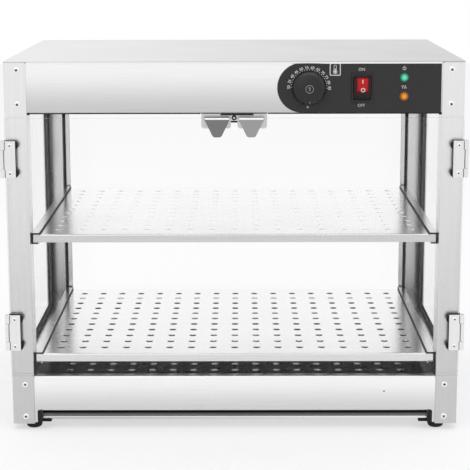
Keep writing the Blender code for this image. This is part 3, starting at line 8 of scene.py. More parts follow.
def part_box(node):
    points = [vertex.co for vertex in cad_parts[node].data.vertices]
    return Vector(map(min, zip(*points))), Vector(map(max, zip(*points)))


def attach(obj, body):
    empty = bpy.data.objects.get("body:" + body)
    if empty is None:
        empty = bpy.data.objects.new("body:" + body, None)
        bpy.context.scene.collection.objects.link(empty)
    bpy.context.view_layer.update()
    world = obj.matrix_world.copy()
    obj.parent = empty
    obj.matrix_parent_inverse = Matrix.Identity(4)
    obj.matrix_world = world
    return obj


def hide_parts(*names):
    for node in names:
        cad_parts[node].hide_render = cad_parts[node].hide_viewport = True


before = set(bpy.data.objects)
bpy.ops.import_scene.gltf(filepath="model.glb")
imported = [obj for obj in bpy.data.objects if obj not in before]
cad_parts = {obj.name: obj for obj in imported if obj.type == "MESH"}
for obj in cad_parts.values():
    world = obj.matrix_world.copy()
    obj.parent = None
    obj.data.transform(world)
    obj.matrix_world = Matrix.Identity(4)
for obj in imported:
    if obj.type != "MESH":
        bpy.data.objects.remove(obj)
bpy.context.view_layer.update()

# The case stands with its doors at the front, -Y. The flat top sheet gives the four outer
# faces, and all depths below are measured back from the front face of the posts.
MM = 0.001
case_low, case_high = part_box("top_cover")
FRONT = case_low.y
REAR = case_high.y
SIDE = case_high.x
TOP = case_high.z
scene = bpy.context.scene
scene.view_settings.view_transform = "Standard"

# The room: a pale floor that runs into a white background. The camera stands a little above
# the case and looks down on it, nearly square to the doors.
EYE_FROM_FRONT = 2030.5 * MM
EYE_ACROSS = 7.7 * MM
EYE_HEIGHT = 667.3 * MM
EYE_TILT = math.radians(10.99)
EYE_TURN = math.radians(0.195)
EYE_ROLL = math.radians(-0.109)
SENSOR = 36.0
LENS = 117.77
FLOOR_HALF = 6.0
FLOOR_DROP = 0.2 * MM


def linear(code):
    """Linear colour of a written sRGB colour."""
    channels = [int(code[i:i + 2], 16) / 255 for i in (0, 2, 4)]
    return [c / 12.92 if c <= 0.04045 else ((c + 0.055) / 1.055) ** 2.4 for c in channels] + [1.0]


def add(tree, kind, links=None, **settings):
    """Add a node: settings are its properties, links give its inputs a value or a link."""
    node = tree.nodes.new(kind)
    for name, value in settings.items():
        setattr(node, name, value)
    for socket, value in (links or {}).items():
        if isinstance(value, bpy.types.NodeSocket):
            tree.links.new(value, node.inputs[socket])
        else:
            node.inputs[socket].default_value = value
    return node


def seen_or_mirrored(tree):
    """1 for rays from the camera, in a mirror or through glass, and 0 for rays that light things."""
    path = add(tree, "ShaderNodeLightPath")
    either = add(tree, "ShaderNodeMath", {0: path.outputs["Is Camera Ray"],
                                          1: path.outputs["Is Glossy Ray"]}, operation="MAXIMUM")
    return add(tree, "ShaderNodeMath", {0: either.outputs[0],
                                        1: path.outputs["Is Transmission Ray"]},
               operation="MAXIMUM").outputs[0]


world = bpy.data.worlds.new("studio")
world.use_nodes = True
scene.world = world
tree = world.node_tree
tree.nodes.clear()
light = add(tree, "ShaderNodeBackground", {"Color": linear("FFFFFF"), "Strength": 0.8})
seen = add(tree, "ShaderNodeBackground", {"Color": linear("FFFFFF"), "Strength": 1.0})
both = add(tree, "ShaderNodeMixShader", {0: seen_or_mirrored(tree), 1: light.outputs[0],
                                         2: seen.outputs[0]})
add(tree, "ShaderNodeOutputWorld", {"Surface": both.outputs[0]})

shape = bmesh.new()
corners = [(-FLOOR_HALF, -FLOOR_HALF), (FLOOR_HALF, -FLOOR_HALF),
           (FLOOR_HALF, FLOOR_HALF), (-FLOOR_HALF, FLOOR_HALF)]
shape.faces.new([shape.verts.new((x, y, -FLOOR_DROP)) for x, y in corners])
mesh = bpy.data.meshes.new("floor")
shape.to_mesh(mesh)
shape.free()
floor = bpy.data.objects.new("floor", mesh)
scene.collection.objects.link(floor)
paint = bpy.data.materials.new("white studio floor")
paint.use_nodes = True
tree = paint.node_tree
tree.nodes.clear()
matt = add(tree, "ShaderNodeBsdfDiffuse", {"Color": linear("B4B4B4")})
glow = add(tree, "ShaderNodeEmission", {"Color": linear("FFFFFF"), "Strength": 0.57})
clear = add(tree, "ShaderNodeBsdfTransparent", {"Color": (0, 0, 0, 1)})
lit = add(tree, "ShaderNodeMixShader", {0: seen_or_mirrored(tree), 1: clear.outputs[0],
                                        2: glow.outputs[0]})
total = add(tree, "ShaderNodeAddShader", {0: matt.outputs[0], 1: lit.outputs[0]})
add(tree, "ShaderNodeOutputMaterial", {"Surface": total.outputs[0]})
mesh.materials.append(paint)

for name, place, size, power in (("ceiling softbox", (0.0, -0.3, 2.2), 2.4, 9),
                                 ("front softbox", (-0.9, -2.6, 1.6), 1.6, 4),
                                 ("right softbox", (2.2, -0.6, 1.3), 1.4, 2)):
    lamp = bpy.data.lights.new(name, "AREA")
    lamp.shape = "SQUARE"
    lamp.size = size
    lamp.energy = power
    holder = bpy.data.objects.new(name, lamp)
    holder.location = place
    holder.rotation_euler = (Vector((0, 0, 0.25)) - Vector(place)).to_track_quat("-Z", "Y").to_euler()
    scene.collection.objects.link(holder)

camera = bpy.data.cameras.new("camera")
camera.sensor_width = SENSOR
camera.lens = LENS
eye = bpy.data.objects.new("camera", camera)
aim = Matrix.Rotation(EYE_TURN, 4, "Z") @ Matrix.Rotation(math.pi / 2 - EYE_TILT, 4, "X")
eye.matrix_world = (Matrix.Translation((EYE_ACROSS, FRONT - EYE_FROM_FRONT, EYE_HEIGHT))
                    @ aim @ Matrix.Rotation(EYE_ROLL, 4, "Z"))
scene.collection.objects.link(eye)
scene.camera = eye


# Posts, headers, base panels and top sheet: folded stainless sheet with a fine brushed grain
# along each piece. Their folds are rounded, so each is a merged copy of its solid that is
# shaded smooth over the bends. Each sheet's colour is painted paler towards its upper edge,
# and the top sheet's darker towards its right: painted reflection and shade of the room.
GRAIN_WIDTH = 1.2 * MM          # drawn coarser than the real 0.1 mm scratches, which would not show
GRAIN_LENGTH = 90 * MM


def new_material(name, **values):
    """A Principled material; values are set straight on its sockets."""
    material = bpy.data.materials.new(name)
    material.use_nodes = True
    shader = material.node_tree.nodes["Principled BSDF"]
    for socket, value in values.items():
        shader.inputs[socket.replace("_", " ")].default_value = value
    return material, material.node_tree, shader


def brushed(name, code, roughness, along, depth=0.04, fade=None):
    """Brushed steel whose grain runs along one axis; fade gives axis, place, place, other code, and paints
    the colour over towards the other code: painted light and shade.
    """
    material, tree, shader = new_material(name, Metallic=1.0)
    place = add(tree, "ShaderNodeTexCoord")
    stretch = [1 / (GRAIN_LENGTH if axis == along else GRAIN_WIDTH) for axis in "XYZ"]
    grain_place = add(tree, "ShaderNodeMapping", {"Vector": place.outputs["Object"], "Scale": stretch})
    grain = add(tree, "ShaderNodeTexNoise", {"Vector": grain_place.outputs[0], "Scale": 1.0,
                                            "Detail": 3.0, "Roughness": 0.6})
    cloud = add(tree, "ShaderNodeTexNoise", {"Vector": place.outputs["Object"],
                                            "Scale": 1 / (120 * MM), "Detail": 2.0})
    tone = add(tree, "ShaderNodeMapRange", {"Value": grain.outputs[0], "From Min": 0.3,
                                           "From Max": 0.7, "To Min": 0.965, "To Max": 1.03})
    base = linear(code)[:3]
    if fade:
        axis, start, end, other = fade
        parts = add(tree, "ShaderNodeSeparateXYZ", {0: place.outputs["Object"]})
        share = add(tree, "ShaderNodeMapRange", {"Value": parts.outputs["XYZ".index(axis)],
                                                "From Min": start, "From Max": end},
                    interpolation_type="SMOOTHSTEP")
        base = add(tree, "ShaderNodeMix", {0: share.outputs[0], 6: linear(code), 7: linear(other)},
                   data_type="RGBA").outputs[2]
    colour = add(tree, "ShaderNodeVectorMath", {0: base, "Scale": tone.outputs[0]},
                 operation="SCALE")
    tree.links.new(colour.outputs[0], shader.inputs["Base Color"])
    spread = add(tree, "ShaderNodeMapRange", {"Value": cloud.outputs[0], "From Min": 0.35,
                                             "From Max": 0.65, "To Min": roughness * 0.9,
                                             "To Max": roughness * 1.15})
    tree.links.new(spread.outputs[0], shader.inputs["Roughness"])
    bump = add(tree, "ShaderNodeBump", {"Height": grain.outputs[0], "Strength": depth,
                                       "Distance": 0.05 * MM})
    tree.links.new(bump.outputs[0], shader.inputs["Normal"])
    return material


def dress(material, *names):
    """Give CAD solids a finish."""
    for name in names:
        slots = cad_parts[name].data.materials
        if len(slots) == 0:
            slots.append(material)
        for i in range(len(slots)):
            slots[i] = material


def evened(mesh, sharp_degrees):
    """Smooth over gentle bends only: each corner's shading follows its largest flat face."""
    mesh.shade_smooth()
    mesh.set_sharp_from_angle(angle=math.radians(sharp_degrees))
    holder = bpy.data.objects.new(mesh.name, mesh)
    scene.collection.objects.link(holder)
    step = holder.modifiers.new("even", "WEIGHTED_NORMAL")
    step.mode = "FACE_AREA"
    step.weight = 90
    step.keep_sharp = True
    bpy.context.view_layer.update()
    result = bpy.data.meshes.new_from_object(
        holder.evaluated_get(bpy.context.evaluated_depsgraph_get()))
    bpy.data.objects.remove(holder)
    return result


def place_mesh(name, mesh, material, body, nodes=()):
    """Put a finished mesh in the scene: its finish, its body and what it stands for."""
    if material:
        mesh.materials.clear()
        mesh.materials.append(material)
    piece = bpy.data.objects.new(name, mesh)
    scene.collection.objects.link(piece)
    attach(piece, body)
    if nodes:
        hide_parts(*nodes)
    return piece


def smooth_copy(node, material, body="case", edge=0.0, sharp_degrees=35):
    """A merged copy of a solid, with eased edges if edge is given, shaded smooth over bends."""
    shape = bmesh.new()
    shape.from_mesh(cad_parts[node].data)
    bmesh.ops.remove_doubles(shape, verts=shape.verts, dist=0.002 * MM)
    bmesh.ops.dissolve_limit(shape, angle_limit=math.radians(0.5), verts=shape.verts,
                             edges=shape.edges)
    if edge:
        corners = [e for e in shape.edges if len(e.link_faces) == 2
                   and e.calc_face_angle(0) > math.radians(50)]
        bmesh.ops.bevel(shape, geom=corners, offset=edge, segments=2, profile=0.5,
                        affect="EDGES", clamp_overlap=True)
    mesh = bpy.data.meshes.new(node + "_sheet")
    shape.to_mesh(mesh)
    shape.free()
    return place_mesh(node + "_smooth", evened(mesh, sharp_degrees), material, body, [node])


# Painted reflection and shade: each fade below lightens or darkens the steel's colour by place.
post_steel = brushed("satin stainless, grain upright", "CBCBCB", 0.28, "Z",
                     fade=("Z", 40 * MM, 500 * MM, "E9E9E9"))
header_steel = brushed("brushed stainless header, grain level", "CACACA", 0.30, "X",
                       fade=("Z", 438 * MM, 496 * MM, "F4F4F4"))
apron_steel = brushed("brushed stainless apron, grain level", "D8D8D8", 0.30, "X",
                      fade=("Z", 28 * MM, 70 * MM, "F8F8F8"))
cover_steel = brushed("brushed stainless top, grain level", "E1E1E1", 0.30, "X",
                      fade=("X", -300 * MM, 300 * MM, "C3C3C3"))
for node in ("front_left_post", "front_right_post", "rear_left_post", "rear_right_post"):
    smooth_copy(node, post_steel)
for node in ("front_header", "header_wrap"):
    smooth_copy(node, header_steel)
for node in ("front_apron", "base_wrap"):
    smooth_copy(node, apron_steel)
smooth_copy("top_cover", cover_steel)

# The ceiling liner, base pan and floor plate are thinner sheet. The floor plate under the
# trays is polished like a mirror and shows the holes of the tray over it; its colour is painted
# dark, as painted shade under the trays. The other two are dull mill finish. A bright rolled hem
# runs along the lower front edge of the pan, painted lighter towards the right, and a strip over
# the hem is painted black near the apron: painted shade in the gap under the apron.
dull_steel = brushed("dull mill-finish stainless", "B4B4B4", 0.45, "X")
polished_steel = brushed("mirror polished stainless floor", "444444", 0.03, "X", 0.002)
hem_steel = brushed("bright rolled hem", "C6C6C6", 0.3, "X", fade=("X", -270 * MM, 270 * MM, "E8E8E8"))
for node in ("ceiling_liner", "base_pan"):
    smooth_copy(node, dull_steel)
smooth_copy("floor_plate", polished_steel)


def strip_along(shape, section, start, end, axis=0):
    """Close a rod of any section along X (axis 0) or Y (axis 1); section is across and height."""
    rings = []
    for along in (start, end):
        if axis == 0:
            rings.append([shape.verts.new((along, across, z)) for across, z in section])
        else:
            rings.append([shape.verts.new((across, along, z)) for across, z in section])
    first, last = rings
    shape.faces.new(first)
    shape.faces.new(last[::-1])
    for i in range(len(section)):
        k = (i + 1) % len(section)
        shape.faces.new((first[k], first[i], last[i], last[k]))


def finished(name, shape, material, body, nodes=(), sharp_degrees=35):
    """Close a bmesh into a piece: normals out, smooth over gentle bends, sharp at real edges."""
    bmesh.ops.remove_doubles(shape, verts=shape.verts, dist=0.001 * MM)
    bmesh.ops.recalc_face_normals(shape, faces=shape.faces)
    mesh = bpy.data.meshes.new(name)
    shape.to_mesh(mesh)
    shape.free()
    return place_mesh(name, evened(mesh, sharp_degrees), material, body, nodes)


def round_section(across, height, radius, steps=12, squash=1.0):
    """A round bar's section: points of across and height."""
    return [(across + radius * squash * math.cos(2 * math.pi * k / steps),
             height + radius * math.sin(2 * math.pi * k / steps)) for k in range(steps)]


# Painted highlight: a bright strip fills the seam between the top sheet's front edge and the header, over
# the shade in that gap.
cover_seam_highlight = brushed("bright edge strip", "F4F4F4", 0.3, "X", 0.02)
shape = bmesh.new()
COVER_EDGE = 1.25 * MM
strip_along(shape, [(FRONT + 0.05 * MM, TOP - COVER_EDGE), (FRONT + 1.6 * MM, TOP - COVER_EDGE),
                    (FRONT + 1.6 * MM, TOP - 3.4 * MM), (FRONT + 0.6 * MM, TOP - 3.4 * MM),
                    (FRONT + 0.05 * MM, TOP - 2.6 * MM)], -274.6 * MM, 274.6 * MM)
finished("cover_seam_strip", shape, cover_seam_highlight, "case")

pan_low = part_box("base_pan")[0]
HEM_HALF = 265 * MM
HEM_RADIUS = 2.2 * MM
shape = bmesh.new()
strip_along(shape, round_section(pan_low.y - 0.9 * MM, pan_low.z + HEM_RADIUS, HEM_RADIUS, 16, 0.55),
            -HEM_HALF, HEM_HALF)
finished("pan_front_hem", shape, hem_steel, "case")

# The heating tube is a stainless sheath that has gone brown-grey with heat.
hot_tube, tree, shader = new_material("heat-tinted stainless tube", Metallic=1.0, Roughness=0.45)
place = add(tree, "ShaderNodeTexCoord")
tint = add(tree, "ShaderNodeTexNoise", {"Vector": place.outputs["Object"], "Scale": 1 / (25 * MM),
                                       "Detail": 3.0})
ramp = add(tree, "ShaderNodeMix", {0: tint.outputs[0], 6: linear("5B5148"), 7: linear("857A6C")},
           data_type="RGBA")
tree.links.new(ramp.outputs[2], shader.inputs["Base Color"])
smooth_copy("heating_element", hot_tube, sharp_degrees=60)


# The glass: clear toughened panes, 4 mm in the sides and back and 5 mm in the doors. A pane is
# seen straight through and mirrors a little at a slant; only its ground edges have a colour, a
# grey green. The photo was lit so that the panes mirror almost nothing, so the share is low.
MIRRORED_HEAD_ON = 0.012
MIRRORED_EDGE_ON = 0.14


def clear_glass(name, thin):
    """A thin pane, as a faint mirror over what is behind it; thin is the axis across the pane."""
    material, tree, shader = new_material(name)
    facing = add(tree, "ShaderNodeLayerWeight", {"Blend": 0.5})
    slant = add(tree, "ShaderNodeMath", {0: facing.outputs["Facing"], 1: 5.0}, operation="POWER")
    mirrored = add(tree, "ShaderNodeMapRange", {"Value": slant.outputs[0], "To Min": MIRRORED_HEAD_ON,
                                               "To Max": MIRRORED_EDGE_ON})
    place = add(tree, "ShaderNodeTexCoord")
    parts = add(tree, "ShaderNodeSeparateXYZ", {0: place.outputs["Normal"]})
    across = add(tree, "ShaderNodeMath", {0: parts.outputs["XYZ".index(thin)]}, operation="ABSOLUTE")
    ground = add(tree, "ShaderNodeMath", {0: across.outputs[0], 1: 0.5}, operation="LESS_THAN")
    grit = add(tree, "ShaderNodeTexNoise", {"Vector": place.outputs["Object"], "Scale": 1 / (3 * MM)})
    edge = add(tree, "ShaderNodeMix", {0: grit.outputs[0], 6: linear("A8BEB6"), 7: linear("C6D6D0")},
               data_type="RGBA")
    tone = add(tree, "ShaderNodeMix", {0: ground.outputs[0], 6: linear("FFFFFF"), 7: edge.outputs[2]},
               data_type="RGBA")
    tree.links.new(tone.outputs[2], shader.inputs["Base Color"])
    for socket, pane_value, edge_value in (("Metallic", 1.0, 0.0), ("Roughness", 0.01, 0.35)):
        value = add(tree, "ShaderNodeMapRange", {"Value": ground.outputs[0], "To Min": pane_value,
                                                "To Max": edge_value})
        tree.links.new(value.outputs[0], shader.inputs[socket])
    alpha = add(tree, "ShaderNodeMix", {0: ground.outputs[0], 2: mirrored.outputs[0], 3: 0.34})
    tree.links.new(alpha.outputs[0], shader.inputs["Alpha"])
    return material


side_pane = clear_glass("clear toughened glass, side panes", "X")
front_pane = clear_glass("clear toughened glass, doors and back", "Y")
dress(side_pane, "left_side_glass", "right_side_glass")
dress(front_pane, "rear_glass", "left_door_glass", "right_door_glass")


# Rubber: black silicone channels and seals round the panes and the hinge pads. It is matt,
# with a slight bloom that lightens it in patches.
def soft_black(name, dark, light, roughness, grit):
    """Matt black rubber or plastic with a fine moulded skin."""
    material, tree, shader = new_material(name, Roughness=roughness, Specular_IOR_Level=0.4)
    place = add(tree, "ShaderNodeTexCoord")
    skin = add(tree, "ShaderNodeTexNoise", {"Vector": place.outputs["Object"], "Scale": 1 / grit,
                                           "Detail": 2.0})
    bloom = add(tree, "ShaderNodeTexNoise", {"Vector": place.outputs["Object"],
                                            "Scale": 1 / (14 * MM), "Detail": 2.0})
    tone = add(tree, "ShaderNodeMix", {0: bloom.outputs[0], 6: linear(dark), 7: linear(light)},
               data_type="RGBA")
    tree.links.new(tone.outputs[2], shader.inputs["Base Color"])
    bump = add(tree, "ShaderNodeBump", {"Height": skin.outputs[0], "Strength": 0.15,
                                       "Distance": 0.05 * MM})
    tree.links.new(bump.outputs[0], shader.inputs["Normal"])
    return material


rubber = soft_black("black silicone rubber", "0E0E0E", "1C1C1C", 0.7, 0.8 * MM)
dress(rubber, "left_glass_channel", "right_glass_channel", "rear_glass_seal")
DOORS = (("left", "left_door", -1), ("right", "right_door", 1))
for word, body, side in DOORS:
    for level in ("upper", "lower"):
        smooth_copy(f"{level}_{word}_hinge_pad", rubber, body)

# A black strip in the crease beside the knuckles of each door leaf is painted shade in that crease.
KNUCKLE_HALF = 12.6 * MM
LIP_SHORT = 0.5 * MM            # the lip stops short of the leaf's ends
for word, body, side in DOORS:
    for level in ("upper", "lower"):
        low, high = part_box(f"{level}_{word}_door_leaf")
        middle = (low.z + high.z) / 2
        shape = bmesh.new()
        for start, end in ((low.z + LIP_SHORT, middle - KNUCKLE_HALF),
                           (middle + KNUCKLE_HALF, high.z - LIP_SHORT)):
            lip = bmesh.ops.create_cube(shape, size=1.0)["verts"]
            bmesh.ops.scale(shape, vec=(0.9 * MM, 1.2 * MM, end - start), verts=lip)
            bmesh.ops.translate(shape, vec=(side * (SIDE - 0.6 * MM), low.y + 0.3 * MM,
                                            (start + end) / 2), verts=lip)
        bmesh.ops.bevel(shape, geom=shape.edges[:], offset=0.2 * MM, segments=2, profile=0.5, affect="EDGES")
        finished(f"{level}_{word}_pad_lip", shape, rubber, body)

# A black bead under the header's lower edge, with a black dot at each end, is painted shade
# under that edge. A strip on the pan's front wall, painted black near the apron, and two black
# end pieces are painted shade in the gap under the apron.
header_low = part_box("front_header")[0]
catch_low, catch_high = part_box("door_catch")
BEAD = 0.6 * MM
shape = bmesh.new()
for start, end in ((-274.4 * MM, catch_low.x - 1 * MM), (catch_high.x + 1 * MM, 274.4 * MM)):
    strip_along(shape, round_section(header_low.y + 1.0 * MM, header_low.z + 0.6 * MM, BEAD, 8),
                start, end)
for side in (-1, 1):
    plug = bmesh.ops.create_uvsphere(shape, u_segments=20, v_segments=10, radius=1.9 * MM)["verts"]
    bmesh.ops.scale(shape, vec=(1.0, 0.5, 0.8), verts=plug)
    bmesh.ops.translate(shape, vec=(side * 273.2 * MM, header_low.y + 0.3 * MM, header_low.z + 0.2 * MM),
                        verts=plug)
finished("header_bead", shape, rubber, "case")
shape = bmesh.new()
GAP_STRIP = (17.6 * MM, 27.5 * MM)
strip_along(shape, [(pan_low.y - 0.5 * MM, GAP_STRIP[0]), (pan_low.y + 0.1 * MM, GAP_STRIP[0]),
                    (pan_low.y + 0.1 * MM, GAP_STRIP[1]), (pan_low.y - 0.5 * MM, GAP_STRIP[1])],
            -HEM_HALF, HEM_HALF)
# Painted shade: black near the apron, lighter towards the hem.
gap_shade_steel = brushed("smoked steel strip", "7C7C7C", 0.4, "X", 0.02,
                       fade=("Z", 17.2 * MM, 23.5 * MM, "080808"))
finished("apron_gap_strip", shape, gap_shade_steel, "case")
apron_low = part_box("front_apron")[0]
shape = bmesh.new()
for side in (-1, 1):
    strip_along(shape, [(apron_low.y - 0.6 * MM, apron_low.z + 0.2 * MM),
                        (apron_low.y + 0.1 * MM, apron_low.z + 0.2 * MM),
                        (apron_low.y + 0.1 * MM, 26.3 * MM), (apron_low.y - 0.6 * MM, 26.3 * MM)],
                side * 264.9 * MM, side * 271.5 * MM)
finished("apron_end_plugs", shape, rubber, "case")

# Four rubber feet: a flat pad screwed under the pan and a round sole that sticks out, each
# moulded in one piece with a soft edge.
FOOT_RADIUS = 11 * MM
FOOT_SOLE = 7 * MM


def spun(shape, profile, centre, axis, sides=64, ribs=0.0):
    """Turn a profile of (along, radius) round an axis: -Y faces the front, Z is up."""
    rings = []
    for along, radius in profile:
        ring = []
        if radius == 0:
            ring = [shape.verts.new(spot(centre, axis, along, 0, 0))] * sides
        else:
            for k in range(sides):
                turn = 2 * math.pi * k / sides
                reach = radius - (ribs if ribs and k % 2 and radius > ribs * 60 else 0)
                ring.append(shape.verts.new(spot(centre, axis, along, reach * math.cos(turn),
                                                 reach * math.sin(turn))))
        rings.append(ring)
    for first, second in zip(rings, rings[1:]):
        for k in range(sides):
            m = (k + 1) % sides
            around = []
            for corner in (first[k], first[m], second[m], second[k]):
                if corner not in around:
                    around.append(corner)
            if len(around) > 2:
                shape.faces.new(around)


def spot(centre, axis, along, across, up):
    """A point beside an axis: along it, and off it by across and up."""
    if axis == "-Y":
        return Vector(centre) + Vector((across, -along, up))
    return Vector(centre) + Vector((across, up, along))


for corner in ("front_left", "front_right", "rear_left", "rear_right"):
    low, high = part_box(corner + "_foot")
    middle = (low + high) / 2
    sole = [(0, 0), (0, FOOT_SOLE - 1 * MM), (0.3 * MM, FOOT_SOLE)]
    for k in range(1, 9):
        turn = math.pi / 2 * k / 8
        sole.append((5 * MM * (1 - math.cos(turn)) + 0.3 * MM * math.cos(turn),
                     FOOT_SOLE + (FOOT_RADIUS - FOOT_SOLE) * math.sin(turn)))
    sole += [(high.z - 1.2 * MM, FOOT_RADIUS), (high.z - 1.2 * MM, 0)]
    shape = bmesh.new()
    side = -1 if middle.x < 0 else 1
    spun(shape, sole, (side * (SIDE - 27 * MM), middle.y, 0), "Z", 48)
    pad = bmesh.ops.create_cube(shape, size=1.0)["verts"]
    bmesh.ops.scale(shape, vec=(high.x - low.x, high.y - low.y, 2.5 * MM), verts=pad)
    bmesh.ops.translate(shape, vec=(middle.x, middle.y, high.z - 1.25 * MM), verts=pad)
    edges = list({e for v in pad for e in v.link_edges})
    bmesh.ops.bevel(shape, geom=edges, offset=0.6 * MM, segments=3, profile=0.5, affect="EDGES")
    finished(corner + "_rubber_foot", shape, rubber, "case", [corner + "_foot"])

# Bright trim: the rear pane's frame and the hinge leaves are polished and plated, so they
# take the white of the room. Their edges are eased as stamped parts are.
bright_metal = brushed("bright plated steel", "E9E9E9", 0.22, "Z", 0.02)
smooth_copy("rear_glass_frame", bright_metal)
for word, body, side in DOORS:
    for level in ("upper", "lower"):
        smooth_copy(f"{level}_{word}_post_leaf", bright_metal, edge=0.2 * MM)
        smooth_copy(f"{level}_{word}_door_leaf", bright_metal, body, edge=0.2 * MM)

# The door catch is a pressed bracket under the header with a magnet behind each of its two
# tabs. A black bumper lies along its top, and a black screw holds it in the middle.
catch_steel = brushed("zinc plated catch", "CCCCCC", 0.32, "X", 0.03)
smooth_copy("door_catch", catch_steel, edge=0.2 * MM)
bumper = soft_black("black bumper rubber", "060606", "101010", 0.6, 0.8 * MM)
shape = bmesh.new()
strip_along(shape, round_section(catch_low.y - 0.3 * MM, catch_high.z - 0.9 * MM, 1.1 * MM, 12, 0.7),
            -18.0 * MM, 25.5 * MM)
finished("catch_bumper", shape, bumper, "case")
shape = bmesh.new()
spun(shape, [(0, 0), (0, 3.4 * MM), (0.9 * MM, 3.4 * MM), (1.7 * MM, 2.7 * MM), (1.7 * MM, 1.7 * MM),
             (0.9 * MM, 1.3 * MM), (0.9 * MM, 0)],
     (0, catch_low.y + 1.0 * MM, catch_high.z - 5.4 * MM), "-Y", 32)
strip_along(shape, [(catch_low.y - 0.9 * MM, 425.2 * MM), (catch_low.y + 0.2 * MM, 425.2 * MM),
                    (catch_low.y + 0.2 * MM, 427.6 * MM), (catch_low.y - 0.9 * MM, 427.6 * MM)],
            -4.3 * MM, 4.3 * MM)
finished("catch_screw", shape, bumper, "case")

# The door pulls are spring clips pushed over the top edge of the glass: a grey tapering grip
# outside, its grey painted darker on the left clip than on the right as painted shade and
# reflection, a short tongue inside, and a rolled edge where the clip turns over, painted bright
# as a highlight.
PULL_SHADED_TONE = {"left": "7C7C7C", "right": "9E9E9E"}
PULL_WALL = 1.2 * MM
TONGUE_WALL = 0.8 * MM
PULL_SHOULDER = 4.0 * MM        # below the top of the clip
PULL_TIP_HALF = 5.3 * MM
TONGUE_DROP = 11.5 * MM
clamp_steel = brushed("grey spring steel", "9A9A9A", 0.32, "X", 0.03)
roll_highlight_steel = brushed("bright rolled clip edge", "FAFAFA", 0.25, "X", 0.02)


def add_plate(shape, outline, front, back, rounded=(), radius=0.0):
    """A flat plate across Y: an outline in X and Z, some of whose corners are rounded."""
    corners = [shape.verts.new((x, front, z)) for x, z in outline]
    sheet = shape.faces.new(corners)
    if rounded:
        bmesh.ops.bevel(shape, geom=[corners[k] for k in rounded], offset=radius, segments=6,
                        profile=0.5, affect="VERTICES")
        sheet = [f for f in shape.faces if all(abs(v.co.y - front) < 1e-7 for v in f.verts)][-1]
    moved = bmesh.ops.extrude_face_region(shape, geom=[sheet], use_keep_orig=True)["geom"]
    bmesh.ops.translate(shape, vec=(0, back - front, 0),
                        verts=[v for v in moved if isinstance(v, bmesh.types.BMVert)])


for word, body, side in DOORS:
    grip = brushed(f"grey spring steel, {word} clip", PULL_SHADED_TONE[word], 0.34, "X", 0.05)
    low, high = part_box(f"{word}_door_pull")
    middle = (low.x + high.x) / 2
    half = (high.x - low.x) / 2
    shoulder = high.z - PULL_SHOULDER
    share = (TONGUE_DROP - PULL_SHOULDER) / (shoulder - low.z)
    tongue_half = half + (PULL_TIP_HALF - half) * share
    shape = bmesh.new()
    add_plate(shape, [(middle - half, high.z - 0.5 * MM), (middle - half, shoulder),
                      (middle - PULL_TIP_HALF, low.z), (middle + PULL_TIP_HALF, low.z),
                      (middle + half, shoulder), (middle + half, high.z - 0.5 * MM)],
              low.y, low.y + PULL_WALL, (2, 3), 2.6 * MM)
    add_plate(shape, [(middle - half, high.z - 0.5 * MM), (middle - half, shoulder),
                      (middle - tongue_half, high.z - TONGUE_DROP),
                      (middle + tongue_half, high.z - TONGUE_DROP), (middle + half, shoulder),
                      (middle + half, high.z - 0.5 * MM)], high.y - TONGUE_WALL, high.y)
    strip_along(shape, [(low.y + 0.3 * MM, high.z - PULL_WALL), (low.y + 0.3 * MM, high.z - 0.3 * MM),
                        (low.y + 0.8 * MM, high.z), (high.y - 0.6 * MM, high.z),
                        (high.y - 0.2 * MM, high.z - 0.3 * MM), (high.y - 0.2 * MM, high.z - PULL_WALL)],
                low.x, high.x)
    finished(f"{word}_pull_clip", shape, grip, body, [f"{word}_door_pull"])
    shape = bmesh.new()
    strip_along(shape, round_section(low.y + 0.1 * MM, high.z - 2.2 * MM, 1.3 * MM, 12, 0.5),
                low.x + 0.3 * MM, high.x - 0.3 * MM)
    finished(f"{word}_pull_roll", shape, roll_highlight_steel, body)
    for level in ("upper", "lower"):
        smooth_copy(f"{level}_{word}_hinge_clamp", clamp_steel, body)

# Tray rails: bright rolled channels on the side glass posts. A black strip over the front end of
# each channel and along the free edge of its top flange is painted shade: the shade on the
# channel's cut end and in the gap under the flange.
rail_metal = brushed("bright rolled stainless rail", "EAEAEA", 0.24, "Y", 0.02)
RAIL_WALL = 1.5 * MM
LINING = 0.9 * MM
for word in ("left", "right"):
    side = -1 if word == "left" else 1
    for level in ("upper", "lower"):
        node = f"{level}_{word}_rail"
        smooth_copy(node, rail_metal)
        low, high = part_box(node)
        post_side = low.x if side < 0 else high.x
        free_side = high.x if side < 0 else low.x
        inward = -side
        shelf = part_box(f"{level}_tray")[0].z - 1.7 * MM
        shape = bmesh.new()
        run = [(free_side - inward * 0.2 * MM, high.z + 0.1 * MM),
               (free_side + inward * LINING, high.z + 0.1 * MM),
               (free_side + inward * LINING, high.z - RAIL_WALL - 0.1 * MM),
               (free_side - inward * 0.2 * MM, high.z - RAIL_WALL - 0.1 * MM)]
        strip_along(shape, run, low.y - 0.9 * MM, high.y, 1)
        top_bar = [(post_side, high.z + 0.2 * MM), (free_side + inward * LINING, high.z + 0.2 * MM),
                   (free_side + inward * LINING, high.z - RAIL_WALL - 0.3 * MM),
                   (post_side, high.z - RAIL_WALL - 0.3 * MM)]
        upright = [(post_side, high.z), (post_side + inward * 1.9 * MM, high.z),
                   (post_side + inward * 1.9 * MM, low.z + 0.1 * MM), (post_side, low.z + 0.1 * MM)]
        foot_bar = [(post_side, shelf + RAIL_WALL), (post_side + inward * 9 * MM, shelf + RAIL_WALL),
                    (post_side + inward * 9 * MM, shelf), (post_side, shelf)]
        for section in (top_bar, upright, foot_bar):
            strip_along(shape, section, low.y - 1.1 * MM, low.y - 0.1 * MM, 1)
        bmesh.ops.recalc_face_normals(shape, faces=shape.faces)
        finished(f"{node}_lining", shape, rubber, "case")

